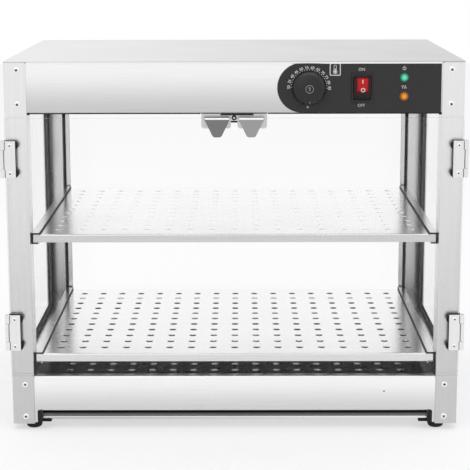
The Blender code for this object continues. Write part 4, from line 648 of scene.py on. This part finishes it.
# The trays: 1 mm polished stainless with 17 by 11 round holes, and their four edges folded
# down. The flat sheet and the folded rim are one piece of metal; the rim's colour is painted
# darker down from the top edge, painted shade on the fold.
HOLE_RADIUS = 5.0 * MM
HOLE_PITCH_X = 30.2 * MM
HOLE_PITCH_Y = 32.8 * MM
HOLE_COLUMNS = 17
HOLE_ROWS = 11
SHEET = 1.0 * MM
FOLD = 1.6 * MM


def perforating_tree():
    """Fill a rectangle less a grid of round holes, then give it the sheet's thickness."""
    tree = bpy.data.node_groups.new("perforated sheet", "GeometryNodeTree")
    tree.interface.new_socket("Geometry", in_out="OUTPUT", socket_type="NodeSocketGeometry")
    for name, kind in (("Width", "Float"), ("Depth", "Float"), ("Place", "Vector"),
                       ("Hole Radius", "Float"), ("Pitch X", "Float"), ("Pitch Y", "Float"),
                       ("Columns", "Int"), ("Rows", "Int"), ("Thickness", "Float"),
                       ("Finish", "Material")):
        tree.interface.new_socket(name, in_out="INPUT", socket_type="NodeSocket" + kind)
    given = add(tree, "NodeGroupInput").outputs
    edge = add(tree, "GeometryNodeCurvePrimitiveQuadrilateral", {"Width": given["Width"],
                                                                "Height": given["Depth"]})
    hole = add(tree, "GeometryNodeCurvePrimitiveCircle", {"Resolution": 24,
                                                         "Radius": given["Hole Radius"]})
    spans = []
    for count, pitch in (("Columns", "Pitch X"), ("Rows", "Pitch Y")):
        steps = add(tree, "ShaderNodeMath", {0: given[count], 1: 1.0}, operation="SUBTRACT")
        spans.append(add(tree, "ShaderNodeMath", {0: steps.outputs[0], 1: given[pitch]},
                         operation="MULTIPLY").outputs[0])
    grid = add(tree, "GeometryNodeMeshGrid", {"Size X": spans[0], "Size Y": spans[1],
                                             "Vertices X": given["Columns"],
                                             "Vertices Y": given["Rows"]})
    holes = add(tree, "GeometryNodeInstanceOnPoints", {"Points": grid.outputs[0],
                                                      "Instance": hole.outputs[0]})
    loose = add(tree, "GeometryNodeRealizeInstances", {"Geometry": holes.outputs[0]})
    outline = add(tree, "GeometryNodeJoinGeometry")
    tree.links.new(loose.outputs[0], outline.inputs[0])
    tree.links.new(edge.outputs[0], outline.inputs[0])
    face = add(tree, "GeometryNodeFillCurve", {"Curve": outline.outputs[0]})
    down = add(tree, "ShaderNodeCombineXYZ", {"Z": -1.0})
    block = add(tree, "GeometryNodeExtrudeMesh", {"Mesh": face.outputs[0],
                                                 "Offset": down.outputs[0],
                                                 "Offset Scale": given["Thickness"],
                                                 "Individual": False})
    under = add(tree, "GeometryNodeFlipFaces", {"Mesh": block.outputs[0]})
    whole = add(tree, "GeometryNodeJoinGeometry")
    tree.links.new(face.outputs[0], whole.inputs[0])
    tree.links.new(under.outputs[0], whole.inputs[0])
    merged = add(tree, "GeometryNodeMergeByDistance", {"Geometry": whole.outputs[0],
                                                      "Distance": 0.001 * MM})
    placed = add(tree, "GeometryNodeTransform", {"Geometry": merged.outputs[0],
                                                "Translation": given["Place"]})
    real = add(tree, "GeometryNodeRealizeInstances", {"Geometry": placed.outputs[0]})
    done = add(tree, "GeometryNodeSetMaterial", {"Geometry": real.outputs[0],
                                                "Material": given["Finish"]})
    add(tree, "NodeGroupOutput", {"Geometry": done.outputs[0]})
    return tree


def grown(name, tree, values, places=()):
    """Run a geometry tree with named inputs over a few points and keep the plain mesh."""
    mesh = bpy.data.meshes.new(name + " seed")
    mesh.from_pydata([tuple(p) for p in places], [], [])
    seed = bpy.data.objects.new(name + " seed", mesh)
    scene.collection.objects.link(seed)
    step = seed.modifiers.new("grow", "NODES")
    step.node_group = tree
    sockets = {item.name: item.identifier for item in tree.interface.items_tree
               if item.in_out == "INPUT"}
    for key, value in values.items():
        step[sockets[key]] = value
    bpy.context.view_layer.update()
    evaluated = seed.evaluated_get(bpy.context.evaluated_depsgraph_get())
    result = bpy.data.meshes.new_from_object(evaluated)
    bpy.data.objects.remove(seed)
    return result


def add_rim(shape, low, high, wall, fold):
    """Skin the folded rim of a tray: each ring is one point of its section, taken round."""
    reach = fold + wall
    steps = [math.pi / 2 * k / 4 for k in range(5)]
    section = [(reach, 0.0)]
    section += [(fold - fold * math.sin(t), fold - fold * math.cos(t)) for t in steps[1:]]
    section += [(0.0, high.z - low.z), (wall, high.z - low.z)]
    inner = fold - wall
    section += [(fold - inner * math.sin(t), fold - inner * math.cos(t)) for t in steps[:0:-1]]
    section += [(reach, wall)]
    rings = []
    for inset, drop in section:
        z = high.z - drop
        rings.append([shape.verts.new((x, y, z)) for x, y in
                      ((low.x + inset, low.y + inset), (high.x - inset, low.y + inset),
                       (high.x - inset, high.y - inset), (low.x + inset, high.y - inset))])
    for i, ring in enumerate(rings):
        following = rings[(i + 1) % len(rings)]
        for k in range(4):
            m = (k + 1) % 4
            shape.faces.new((ring[k], ring[m], following[m], following[k]))


perforations = perforating_tree()
for node, code, rim_shade_code in (("upper_tray", "F6F6F6", "CDCDCD"), ("lower_tray", "F4F4F4", "DDDDDD")):
    low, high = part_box(node)
    tray_steel = brushed(f"polished stainless, {node}", code, 0.2, "X", 0.02,
                         fade=("Z", high.z - 0.5 * MM, high.z - 1.8 * MM, rim_shade_code))
    reach = FOLD + SHEET
    mesh = grown(node + "_sheet", perforations, {
        "Width": high.x - low.x - 2 * reach, "Depth": high.y - low.y - 2 * reach,
        "Place": ((low.x + high.x) / 2, (low.y + high.y) / 2, high.z),
        "Hole Radius": HOLE_RADIUS, "Pitch X": HOLE_PITCH_X, "Pitch Y": HOLE_PITCH_Y,
        "Columns": HOLE_COLUMNS, "Rows": HOLE_ROWS, "Thickness": SHEET, "Finish": tray_steel})
    place_mesh(node + "_sheet", mesh, tray_steel, "case", [node])
    shape = bmesh.new()
    add_rim(shape, low, high, SHEET, FOLD)
    finished(node + "_rim", shape, tray_steel, "case", [node])


# Screws: plated pan heads with a cross recess, over the plain heads of the solids. Each lies
# turned as it stopped when it was driven home.
screw_metal = brushed("zinc plated screw", "F4F4F4", 0.22, "Z", 0.01)
dark_metal = brushed("shaded steel in the cross recess", "3A3A3A", 0.5, "Z", 0.01)


def pan_head(name, radius, height, floor_at):
    """One head, facing +Z: a domed disc less two crossed slots, which end just over the solid's."""
    shape = bmesh.new()
    profile = [(-0.3 * MM, 0), (-0.3 * MM, radius)]
    for k in range(7):
        turn = math.pi / 2 * k / 6
        profile.append((height * (0.35 + 0.65 * math.sin(turn)), radius * (0.55 + 0.45 * math.cos(turn))))
    profile.append((height, 0))
    spun(shape, profile, (0, 0, 0), "Z", 32)
    bmesh.ops.recalc_face_normals(shape, faces=shape.faces)
    mesh = bpy.data.meshes.new(name)
    shape.to_mesh(mesh)
    shape.free()
    mesh.materials.append(screw_metal)
    head = bpy.data.objects.new(name, mesh)
    scene.collection.objects.link(head)
    shape = bmesh.new()
    slot = radius * 0.17
    arm = radius * 0.47
    cross = [(arm, slot), (slot, slot), (slot, arm), (-slot, arm), (-slot, slot), (-arm, slot),
             (-arm, -slot), (-slot, -slot), (-slot, -arm), (slot, -arm), (slot, -slot), (arm, -slot)]
    rings = [[shape.verts.new((x * share, y * share, z)) for x, y in cross]
             for share, z in ((0.8, floor_at), (1.1, height * 1.2))]
    shape.faces.new(rings[0][::-1])
    shape.faces.new(rings[1])
    for i in range(12):
        k = (i + 1) % 12
        shape.faces.new((rings[0][i], rings[0][k], rings[1][k], rings[1][i]))
    bmesh.ops.recalc_face_normals(shape, faces=shape.faces)
    mesh = bpy.data.meshes.new(name + " driver")
    shape.to_mesh(mesh)
    shape.free()
    mesh.materials.append(dark_metal)
    driver = bpy.data.objects.new(name + " driver", mesh)
    scene.collection.objects.link(driver)
    cutting = head.modifiers.new("recess", "BOOLEAN")
    cutting.operation = "DIFFERENCE"
    cutting.solver = "EXACT"
    cutting.material_mode = "TRANSFER"
    cutting.object = driver
    bpy.context.view_layer.update()
    evaluated = head.evaluated_get(bpy.context.evaluated_depsgraph_get())
    result = bpy.data.meshes.new_from_object(evaluated)
    bpy.data.objects.remove(head)
    bpy.data.objects.remove(driver)
    recess = result.attributes.new("recess", "BOOLEAN", "FACE")
    dark = result.materials.find(dark_metal.name)
    for face in result.polygons:
        recess.data[face.index].value = face.material_index == dark
    whole = bpy.data.objects.new(name, result)
    scene.collection.objects.link(whole)
    return whole


def screwing_tree():
    """Set a head on each point, facing one way, and turn each by its own angle."""
    tree = bpy.data.node_groups.new("driven screws", "GeometryNodeTree")
    tree.interface.new_socket("Geometry", in_out="INPUT", socket_type="NodeSocketGeometry")
    tree.interface.new_socket("Geometry", in_out="OUTPUT", socket_type="NodeSocketGeometry")
    for name, kind in (("Head", "Object"), ("Facing", "Vector"), ("Seed", "Int"),
                       ("Finish", "Material"), ("Recess Finish", "Material")):
        tree.interface.new_socket(name, in_out="INPUT", socket_type="NodeSocket" + kind)
    given = add(tree, "NodeGroupInput").outputs
    head = add(tree, "GeometryNodeObjectInfo", {"Object": given["Head"]})
    lean = add(tree, "FunctionNodeAlignRotationToVector", {"Vector": given["Facing"]}, axis="Z")
    heads = add(tree, "GeometryNodeInstanceOnPoints", {"Points": given["Geometry"],
                                                      "Instance": head.outputs["Geometry"],
                                                      "Rotation": lean.outputs[0]})
    angle = add(tree, "FunctionNodeRandomValue", {2: 0.0, 3: math.pi / 2, 8: given["Seed"]},
                data_type="FLOAT")
    twist = add(tree, "FunctionNodeAxisAngleToRotation", {"Axis": (0, 0, 1), "Angle": angle.outputs[1]})
    driven = add(tree, "GeometryNodeRotateInstances", {"Instances": heads.outputs[0],
                                                      "Rotation": twist.outputs[0],
                                                      "Local Space": True})
    real = add(tree, "GeometryNodeRealizeInstances", {"Geometry": driven.outputs[0]})
    plated = add(tree, "GeometryNodeSetMaterial", {"Geometry": real.outputs[0],
                                                  "Material": given["Finish"]})
    recess = add(tree, "GeometryNodeInputNamedAttribute", {"Name": "recess"}, data_type="BOOLEAN")
    done = add(tree, "GeometryNodeSetMaterial", {"Geometry": plated.outputs[0],
                                                "Selection": recess.outputs["Attribute"],
                                                "Material": given["Recess Finish"]})
    add(tree, "NodeGroupOutput", {"Geometry": done.outputs[0]})
    return tree


frame_head = pan_head("frame head", 4.3 * MM, 1.95 * MM, 1.45 * MM)
small_head = pan_head("small head", 3.05 * MM, 1.75 * MM, 1.35 * MM)
screws = screwing_tree()
heights = [TOP - 11.3 * MM, TOP - 56.9 * MM, 64.5 * MM, 19.0 * MM]
across = SIDE - 17.7 * MM
middles = [(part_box(f"{level}_right_hinge_clamp")[0].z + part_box(f"{level}_right_hinge_clamp")[1].z) / 2
           for level in ("upper", "lower")]
leaf_heights = [middle + step * 18.7 * MM for middle in middles for step in (-1, 1)]
inlet_low, inlet_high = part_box("power_inlet")
inlet_middle = (inlet_low + inlet_high) / 2
apron_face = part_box("front_apron")[0].y
front_points = [(x, FRONT, z) for x in (-across, across) for z in heights]
rear_points = [(x, REAR, z) for x in (-across, across) for z in heights]
rows = [("front_frame_screws", "case", frame_head, front_points, (0, -1, 0)),
        ("rear_frame_screws", "case", frame_head, rear_points, (0, 1, 0)),
        ("apron_screw", "case", small_head,
         [(SIDE - 100.2 * MM, apron_face + 0.9 * MM, 54.7 * MM)], (0, -1, 0)),
        ("inlet_screws", "case", small_head,
         [(inlet_middle.x + step * 20 * MM, inlet_high.y - 1.0 * MM, inlet_middle.z) for step in (-1, 1)],
         (0, 1, 0))]
for word, body, side in DOORS:
    rows.append((f"{word}_leaf_screws", "case", small_head,
                 [(side * (SIDE + 1.8 * MM), FRONT + 14 * MM, z) for z in leaf_heights], (side, 0, 0)))
    rows.append((f"{word}_hinge_screws", body, small_head,
                 [(side * (SIDE - 7.4 * MM), FRONT - 10.5 * MM, z) for z in leaf_heights], (0, -1, 0)))
for seed, (name, body, head, places, facing) in enumerate(rows):
    mesh = grown(name, screws, {"Head": head, "Facing": facing, "Seed": seed, "Finish": screw_metal,
                                "Recess Finish": dark_metal}, places)
    mesh.shade_smooth()
    mesh.set_sharp_from_angle(angle=math.radians(30))
    place_mesh(name, mesh, None, body)
bpy.data.objects.remove(frame_head)
bpy.data.objects.remove(small_head)

# Control strip: a black printed plate on the header. The scale round the knob has a number
# every 5 degrees from 30 to 85 with dots between, and the marks are a thin layer of ink.
panel_low, panel_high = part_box("control_strip")
INK = 0.06 * MM
INK_SINK = 0.02 * MM
ink_face = panel_low.y - INK
panel_black = soft_black("black satin printed panel", "242324", "2C2B2C", 0.42, 0.6 * MM)
PANEL_END = (panel_high.z - panel_low.z) / 2
outline = [(panel_high.x, panel_low.z), (panel_high.x, panel_high.z)]
for k in range(65):
    turn = math.pi / 2 + math.pi * k / 64
    outline.append((panel_low.x + PANEL_END + PANEL_END * math.cos(turn),
                    panel_low.z + PANEL_END + PANEL_END * math.sin(turn)))
shape = bmesh.new()
add_plate(shape, outline, panel_low.y, panel_high.y)
rims = [e for e in shape.edges if e.calc_face_angle(0) > math.radians(80)]
bmesh.ops.bevel(shape, geom=rims, offset=0.12 * MM, segments=2, profile=0.5, affect="EDGES")
finished("printed_control_strip", shape, panel_black, "case", ["control_strip"])
ink, tree, shader = new_material("white screen printing ink", Roughness=0.5)
place = add(tree, "ShaderNodeTexCoord")
fleck = add(tree, "ShaderNodeTexNoise", {"Vector": place.outputs["Object"], "Scale": 1 / (0.7 * MM)})
tone = add(tree, "ShaderNodeMix", {0: fleck.outputs[0], 6: linear("DADADA"), 7: linear("F0F0F0")},
           data_type="RGBA")
tree.links.new(tone.outputs[2], shader.inputs["Base Color"])
knob_low, knob_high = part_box("thermostat_knob")
KNOB = Vector(((knob_low.x + knob_high.x) / 2, 0, (knob_low.z + knob_high.z) / 2))
SCALE_STEP = math.radians(16.2)
SCALE_START = math.radians(177.5)
NUMBER_REACH = 26.9 * MM
DOT_REACH = 23.9 * MM


def add_flat(shape, outline, front, back, hole=None):
    """A thin flat mark: its outline in X and Z, with an inner outline of as many points."""
    faces = []
    for y in (front, back):
        outer = [shape.verts.new((x, y, z)) for x, z in outline]
        inner = [shape.verts.new((x, y, z)) for x, z in hole] if hole else None
        faces.append((outer, inner))
    (front_out, front_in), (back_out, back_in) = faces
    count = len(outline)
    if not hole:
        shape.faces.new(front_out)
        shape.faces.new(back_out[::-1])
    for i in range(count):
        k = (i + 1) % count
        shape.faces.new((front_out[i], back_out[i], back_out[k], front_out[k]))
        if hole:
            shape.faces.new((front_in[k], back_in[k], back_in[i], front_in[i]))
            shape.faces.new((front_out[i], front_out[k], front_in[k], front_in[i]))
            shape.faces.new((back_out[k], back_out[i], back_in[i], back_in[k]))


def circle(x, z, radius, sides=32, flat=1.0):
    return [(x + radius * math.cos(2 * math.pi * k / sides),
             z + radius * flat * math.sin(2 * math.pi * k / sides)) for k in range(sides)]


def rounded_box(x, z, half_width, half_height, radius, steps=6):
    """Outline of a rectangle with round corners, in X and Z."""
    points = []
    for quarter, (sx, sz) in enumerate(((1, 1), (-1, 1), (-1, -1), (1, -1))):
        for k in range(steps + 1):
            turn = math.pi / 2 * (quarter + k / steps)
            points.append((x + sx * (half_width - radius) + radius * math.cos(turn),
                           z + sz * (half_height - radius) + radius * math.sin(turn)))
    return points


def add_words(shape, text, height, x, z, turn=0.0, weight=0.0):
    """Print short text on a face that looks towards -Y, centred on a point."""
    curve = bpy.data.curves.new(text, "FONT")
    curve.body = text
    curve.size = height * 1.38
    curve.extrude = (INK + INK_SINK) / 2
    curve.offset = weight
    curve.align_x = "CENTER"
    curve.align_y = "CENTER"
    curve.resolution_u = 3
    holder = bpy.data.objects.new(text, curve)
    scene.collection.objects.link(holder)
    bpy.context.view_layer.update()
    mesh = bpy.data.meshes.new_from_object(
        holder.evaluated_get(bpy.context.evaluated_depsgraph_get()))
    bpy.data.objects.remove(holder)
    mesh.transform(Matrix.Translation((x, ink_face + (INK + INK_SINK) / 2, z))
                   @ Matrix.Rotation(math.pi / 2, 4, "X")
                   @ Matrix.Rotation(turn, 4, "Z"))
    shape.from_mesh(mesh)
    bpy.data.meshes.remove(mesh)


ink_back = panel_low.y + INK_SINK
shape = bmesh.new()
for k in range(12):
    turn = SCALE_START - SCALE_STEP * k
    add_words(shape, str(30 + 5 * k), 3.7 * MM, KNOB.x + NUMBER_REACH * math.cos(turn),
              KNOB.z + NUMBER_REACH * math.sin(turn), turn - math.pi / 2, 0.1 * MM)
for k in range(23):
    turn = SCALE_START - SCALE_STEP * k / 2
    add_flat(shape, circle(KNOB.x + DOT_REACH * math.cos(turn), KNOB.z + DOT_REACH * math.sin(turn),
                           0.62 * MM, 10), ink_face, ink_back)
add_flat(shape, circle(KNOB.x - 1.6 * MM, KNOB.z - 25.2 * MM, 1.4 * MM, 20), ink_face, ink_back,
         circle(KNOB.x - 1.6 * MM, KNOB.z - 25.2 * MM, 0.6 * MM, 20))
finished("temperature_scale", shape, ink, "case")

# A thermometer in a round-cornered frame stands beside the scale.
ICON = Vector((133.3 * MM, 0, 495.1 * MM))
shape = bmesh.new()
add_flat(shape, rounded_box(ICON.x, ICON.z, 7.3 * MM, 8.4 * MM, 1.7 * MM), ink_face, ink_back,
         rounded_box(ICON.x, ICON.z, 6.0 * MM, 7.1 * MM, 1.0 * MM))


def keyhole(x, z, bulb, half, top):
    """Outline of a thermometer: a bulb below and a stem with a round top, in X and Z."""
    meet = math.asin(half / bulb)
    points = []
    for k in range(29):
        turn = math.pi / 2 + meet + (2 * math.pi - 2 * meet) * k / 28
        points.append((x + bulb * math.cos(turn), z + bulb * math.sin(turn)))
    for k in range(13):
        turn = math.pi * k / 12
        points.append((x + half * math.cos(turn), z + top + half * math.sin(turn)))
    return points


add_flat(shape, keyhole(ICON.x, ICON.z - 3.3 * MM, 2.9 * MM, 1.9 * MM, 7.2 * MM), ink_face, ink_back,
         keyhole(ICON.x, ICON.z - 3.3 * MM, 2.3 * MM, 1.25 * MM, 7.2 * MM))
add_flat(shape, keyhole(ICON.x, ICON.z - 3.3 * MM, 1.9 * MM, 0.85 * MM, 3.6 * MM), ink_face, ink_back)
finished("thermometer_mark", shape, ink, "case")

# ON and OFF stand over and under the switch, and a broken ring and three waves mark the lamps.
switch_low, switch_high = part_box("switch_body")
SWITCH = (switch_low + switch_high) / 2
green_low, green_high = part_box("green_lamp")
orange_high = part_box("orange_lamp")[1]
shape = bmesh.new()
add_words(shape, "ON", 4.0 * MM, SWITCH.x - 0.8 * MM, switch_high.z + 5.2 * MM)
add_words(shape, "OFF", 4.0 * MM, SWITCH.x - 0.9 * MM, switch_low.z - 4.0 * MM)
lamp_x = (green_low.x + green_high.x) / 2
mark_z = green_high.z + 5.6 * MM
gap = math.radians(28)
arc = [math.pi / 2 + gap + (2 * math.pi - 2 * gap) * k / 24 for k in range(25)]
outside = [(lamp_x + 2.4 * MM * math.cos(t), mark_z + 2.4 * MM * math.sin(t)) for t in arc]
inside = [(lamp_x + 1.7 * MM * math.cos(t), mark_z + 1.7 * MM * math.sin(t)) for t in arc]
add_flat(shape, outside + inside[::-1], ink_face, ink_back)
add_flat(shape, rounded_box(lamp_x, mark_z + 1.6 * MM, 0.4 * MM, 1.5 * MM, 0.3 * MM), ink_face, ink_back)
heat_z = (green_low.z + orange_high.z) / 2
for step in (-1, 0, 1):
    wave = [(lamp_x + step * 2.2 * MM + 0.6 * MM * math.sin(2 * math.pi * k / 12),
             heat_z - 2.1 * MM + 4.2 * MM * k / 12) for k in range(13)]
    add_flat(shape, [(x - 0.38 * MM, z) for x, z in wave] + [(x + 0.38 * MM, z) for x, z in wave[::-1]],
             ink_face, ink_back)
finished("switch_and_lamp_marks", shape, ink, "case")

# A black ring between the strip and the knob is painted shade in the gap round the knob.
shape = bmesh.new()
add_flat(shape, circle(KNOB.x, KNOB.z, 22.9 * MM, 96), panel_low.y - 0.3 * MM, ink_back,
         circle(KNOB.x, KNOB.z, 19.0 * MM, 96))
finished("knob_washer", shape, bumper, "case")

# Thermostat knob: a moulded ABS cap with a finely ribbed skirt and a domed face. A ring with
# a small wedge is printed in its middle, and a line near its edge points at the scale.
knob_black = soft_black("black moulded ABS", "1A1A1A", "222222", 0.34, 0.5 * MM)
KNOB_BASE = knob_low.y + 18.0 * MM
cap = [(-12.0, 0), (-12.0, 3.0), (14.6, 3.0), (14.6, 15.5), (11.0, 18.6), (0.0, 19.0), (0.0, 21.9),
       (1.0, 22.0), (9.0, 21.9), (10.4, 21.6), (12.2, 20.9), (13.9, 19.7), (15.3, 17.9), (16.2, 15.6),
       (16.8, 12.5), (17.3, 8.5), (17.6, 5.9), (17.1, 5.7), (17.1, 5.3), (17.6, 5.1), (17.8, 2.5),
       (17.85, 0)]
shape = bmesh.new()
spun(shape, [(a * MM, r * MM) for a, r in cap], (KNOB.x, KNOB_BASE, KNOB.z), "-Y", 180, 0.12 * MM)
finished("knob_cap", shape, knob_black, "knob", ["thermostat_knob"], 50)
knob_ink, tree, shader = new_material("grey pad printing on the knob", Base_Color=linear("A4A4A4"),
                                      Roughness=0.5)
face = KNOB_BASE - 17.9 * MM
shape = bmesh.new()
add_flat(shape, circle(KNOB.x, KNOB.z, 5.4 * MM, 48), face - 0.05 * MM, face + 0.9 * MM,
         circle(KNOB.x, KNOB.z, 4.7 * MM, 48))
wedge = [(KNOB.x - 0.4 * MM, KNOB.z - 2.6 * MM), (KNOB.x + 0.4 * MM, KNOB.z - 2.6 * MM),
         (KNOB.x + 1.4 * MM, KNOB.z + 1.4 * MM), (KNOB.x + 0.9 * MM, KNOB.z + 2.5 * MM),
         (KNOB.x - 0.9 * MM, KNOB.z + 2.5 * MM), (KNOB.x - 1.4 * MM, KNOB.z + 1.4 * MM)]
small = [(KNOB.x + (x - KNOB.x) * 0.5, KNOB.z + (z - KNOB.z) * 0.55 + 0.2 * MM) for x, z in wedge]
add_flat(shape, wedge, face - 0.05 * MM, face + 0.3 * MM, small)
add_flat(shape, rounded_box(KNOB.x + 0.6 * MM, KNOB.z - 17.6 * MM, 0.4 * MM, 1.3 * MM, 0.3 * MM),
         face + 1.6 * MM, face + 5.5 * MM)
finished("knob_marks", shape, knob_ink, "knob")
dress(knob_black, "thermostat", "power_inlet")

# Rocker switch: a red translucent rocker with I and O, in a black bezel. The neon lamp behind
# the rocker lights its middle, and its lower end is pressed in, so it lies in shade.
smooth_copy("switch_body", knob_black, edge=0.6 * MM)
rocker_low, rocker_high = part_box("switch_rocker")
red, tree, shader = new_material("red translucent polycarbonate", Roughness=0.25, IOR=1.58,
                                 Specular_IOR_Level=0.2)
place = add(tree, "ShaderNodeTexCoord")
parts = add(tree, "ShaderNodeSeparateXYZ", {0: place.outputs["Object"]})
GLOW_PLACE = Vector((169.4 * MM, 0, 475.2 * MM))
GLOW_HALF = (6.3 * MM, 7.9 * MM)
shares = []
for socket, middle, half in ((0, GLOW_PLACE.x, GLOW_HALF[0]), (2, GLOW_PLACE.z, GLOW_HALF[1])):
    off = add(tree, "ShaderNodeMath", {0: parts.outputs[socket], 1: middle}, operation="SUBTRACT")
    far = add(tree, "ShaderNodeMath", {0: off.outputs[0]}, operation="ABSOLUTE")
    shares.append(add(tree, "ShaderNodeMapRange", {"Value": far.outputs[0], "From Min": half * 0.86,
                                                  "From Max": half * 1.3, "To Min": 1.0,
                                                  "To Max": 0.0},
                      interpolation_type="SMOOTHSTEP").outputs[0])
core = add(tree, "ShaderNodeMath", {0: shares[0], 1: shares[1]}, operation="MULTIPLY").outputs[0]
shade = add(tree, "ShaderNodeMapRange", {"Value": parts.outputs[2], "From Min": 459.0 * MM,
                                        "From Max": 464.0 * MM}, interpolation_type="SMOOTHSTEP")
body_red = add(tree, "ShaderNodeMix", {0: shade.outputs[0], 6: linear("141414"), 7: linear("3E0C0E")},
               data_type="RGBA")
lit_red = add(tree, "ShaderNodeMix", {0: core, 6: body_red.outputs[2], 7: linear("BC141A")},
              data_type="RGBA")
tree.links.new(lit_red.outputs[2], shader.inputs["Base Color"])
tree.links.new(lit_red.outputs[2], shader.inputs["Emission Color"])
strength = add(tree, "ShaderNodeMapRange", {"Value": core, "To Min": 0.0, "To Max": 0.2})
tree.links.new(strength.outputs[0], shader.inputs["Emission Strength"])
bezel_face = switch_low.y
hub = Vector((6.0, 0.0))
section = [(9.0, -6.0), (9.0, 6.0), (4.0, 14.6), (-0.6, 14.6)]
for k in range(1, 12):
    height = 14.6 - 29.2 * k / 12
    section.append((-0.6 - 2.4 * (1 - (height / 14.6) ** 2), height))
section += [(-0.6, -14.6), (4.0, -14.6)]
tilt = Matrix.Rotation(math.radians(10), 2)


def rocker_spot(depth, height):
    """Depth and height on the rocker as it lies tilted, as Y and Z."""
    turned = tilt @ (Vector((depth, height)) - hub) + hub
    return bezel_face + turned.x * MM, SWITCH.z + turned.y * MM


shape = bmesh.new()
strip_along(shape, [rocker_spot(*p) for p in section], rocker_low.x + 1.3 * MM, rocker_high.x - 1.3 * MM)
bmesh.ops.recalc_face_normals(shape, faces=shape.faces)
ends = [e for e in shape.edges if e.calc_face_angle(0) > math.radians(60)]
bmesh.ops.bevel(shape, geom=ends, offset=0.5 * MM, segments=3, profile=0.5, affect="EDGES")
finished("rocker_cap", shape, red, "rocker", ["switch_rocker"])
white_ink, tree, shader = new_material("white hot-stamped marks", Base_Color=linear("F2E8E4"),
                                       Roughness=0.45)
MARK = 0.14 * MM                # the marks stand a little proud of the curved face
shape = bmesh.new()
flat_marks = bmesh.new()
add_flat(flat_marks, rounded_box(0.3 * MM, 10.2 * MM, 0.65 * MM, 2.5 * MM, 0.3 * MM), -MARK, 0.4 * MM)
add_flat(flat_marks, circle(0.8 * MM, -0.9 * MM, 3.0 * MM), -MARK, 0.4 * MM,
         circle(0.8 * MM, -0.9 * MM, 1.7 * MM))
for corner in flat_marks.verts:
    height = corner.co.z / MM
    rise = -0.6 - 2.4 * (1 - (height / 14.6) ** 2)
    y, z = rocker_spot(rise + corner.co.y / MM, height)
    corner.co = Vector((SWITCH.x + corner.co.x, y, z))
mesh = bpy.data.meshes.new("rocker marks")
flat_marks.to_mesh(mesh)
flat_marks.free()
shape.from_mesh(mesh)
bpy.data.meshes.remove(mesh)
finished("rocker_marks", shape, white_ink, "rocker")


# Indicator lamps: moulded lenses with a fine ringed dome in a dark rim, lit from behind.
def lens(name, core, edge, x, z, radius, strength):
    """Tinted acrylic that is brightest in its middle, where the lamp stands behind it."""
    material, tree, shader = new_material(name, Roughness=0.15, IOR=1.49)
    place = add(tree, "ShaderNodeTexCoord")
    parts = add(tree, "ShaderNodeSeparateXYZ", {0: place.outputs["Object"]})
    flat = add(tree, "ShaderNodeCombineXYZ", {0: parts.outputs[0], 2: parts.outputs[2]})
    away = add(tree, "ShaderNodeVectorMath", {0: flat.outputs[0], 1: (x, 0, z)}, operation="DISTANCE")
    share = add(tree, "ShaderNodeMapRange", {"Value": away.outputs["Value"], "From Min": radius * 0.1,
                                            "From Max": radius * 0.98}, interpolation_type="SMOOTHSTEP")
    tone = add(tree, "ShaderNodeMix", {0: share.outputs[0], 6: linear(core), 7: linear(edge)},
               data_type="RGBA")
    tree.links.new(tone.outputs[2], shader.inputs["Base Color"])
    tree.links.new(tone.outputs[2], shader.inputs["Emission Color"])
    glow = add(tree, "ShaderNodeMapRange", {"Value": share.outputs[0], "To Min": strength,
                                           "To Max": strength * 0.3})
    tree.links.new(glow.outputs[0], shader.inputs["Emission Strength"])
    return material


for node, core, edge, radius, slot in (("green_lamp", "58ECBE", "0C5A42", 6.6, "green_lens"),
                                       ("orange_lamp", "FA9A10", "8A4A08", 6.2, "orange_lens")):
    low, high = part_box(node)
    x = (low.x + high.x) / 2
    z = (low.z + high.z) / 2
    material = lens(f"{node} acrylic lens", core, edge, x, z, radius * MM, 0.3)
    profile = [(-18.0, 0), (-18.0, 5.1), (0.2, 5.1), (0.2, radius), (0.9, radius), (1.2, radius - 0.3),
               (1.2, radius - 1.0)]
    dome = radius - 1.0
    for k in range(1, 11):
        turn = math.pi / 2 * k / 10
        ring = 0.06 if k % 2 else 0.0
        profile.append((1.2 + 3.0 * math.sin(turn) + ring, 0 if k == 10 else dome * math.cos(turn)))
    shape = bmesh.new()
    spun(shape, [(a * MM, r * MM) for a, r in profile], (x, panel_low.y, z), "-Y", 64)
    finished(f"{node}_lens", shape, material, "case", [node], 50)

# The ceiling light is an opal tube cover in a sheet housing.
diffuser, tree, shader = new_material("opal polycarbonate diffuser", Roughness=0.5)
place = add(tree, "ShaderNodeTexCoord")
haze = add(tree, "ShaderNodeTexNoise", {"Vector": place.outputs["Object"], "Scale": 1 / (30 * MM)})
tone = add(tree, "ShaderNodeMix", {0: haze.outputs[0], 6: linear("ECECE6"), 7: linear("FAFAF4")},
           data_type="RGBA")
tree.links.new(tone.outputs[2], shader.inputs["Base Color"])
dress(diffuser, "ceiling_light")
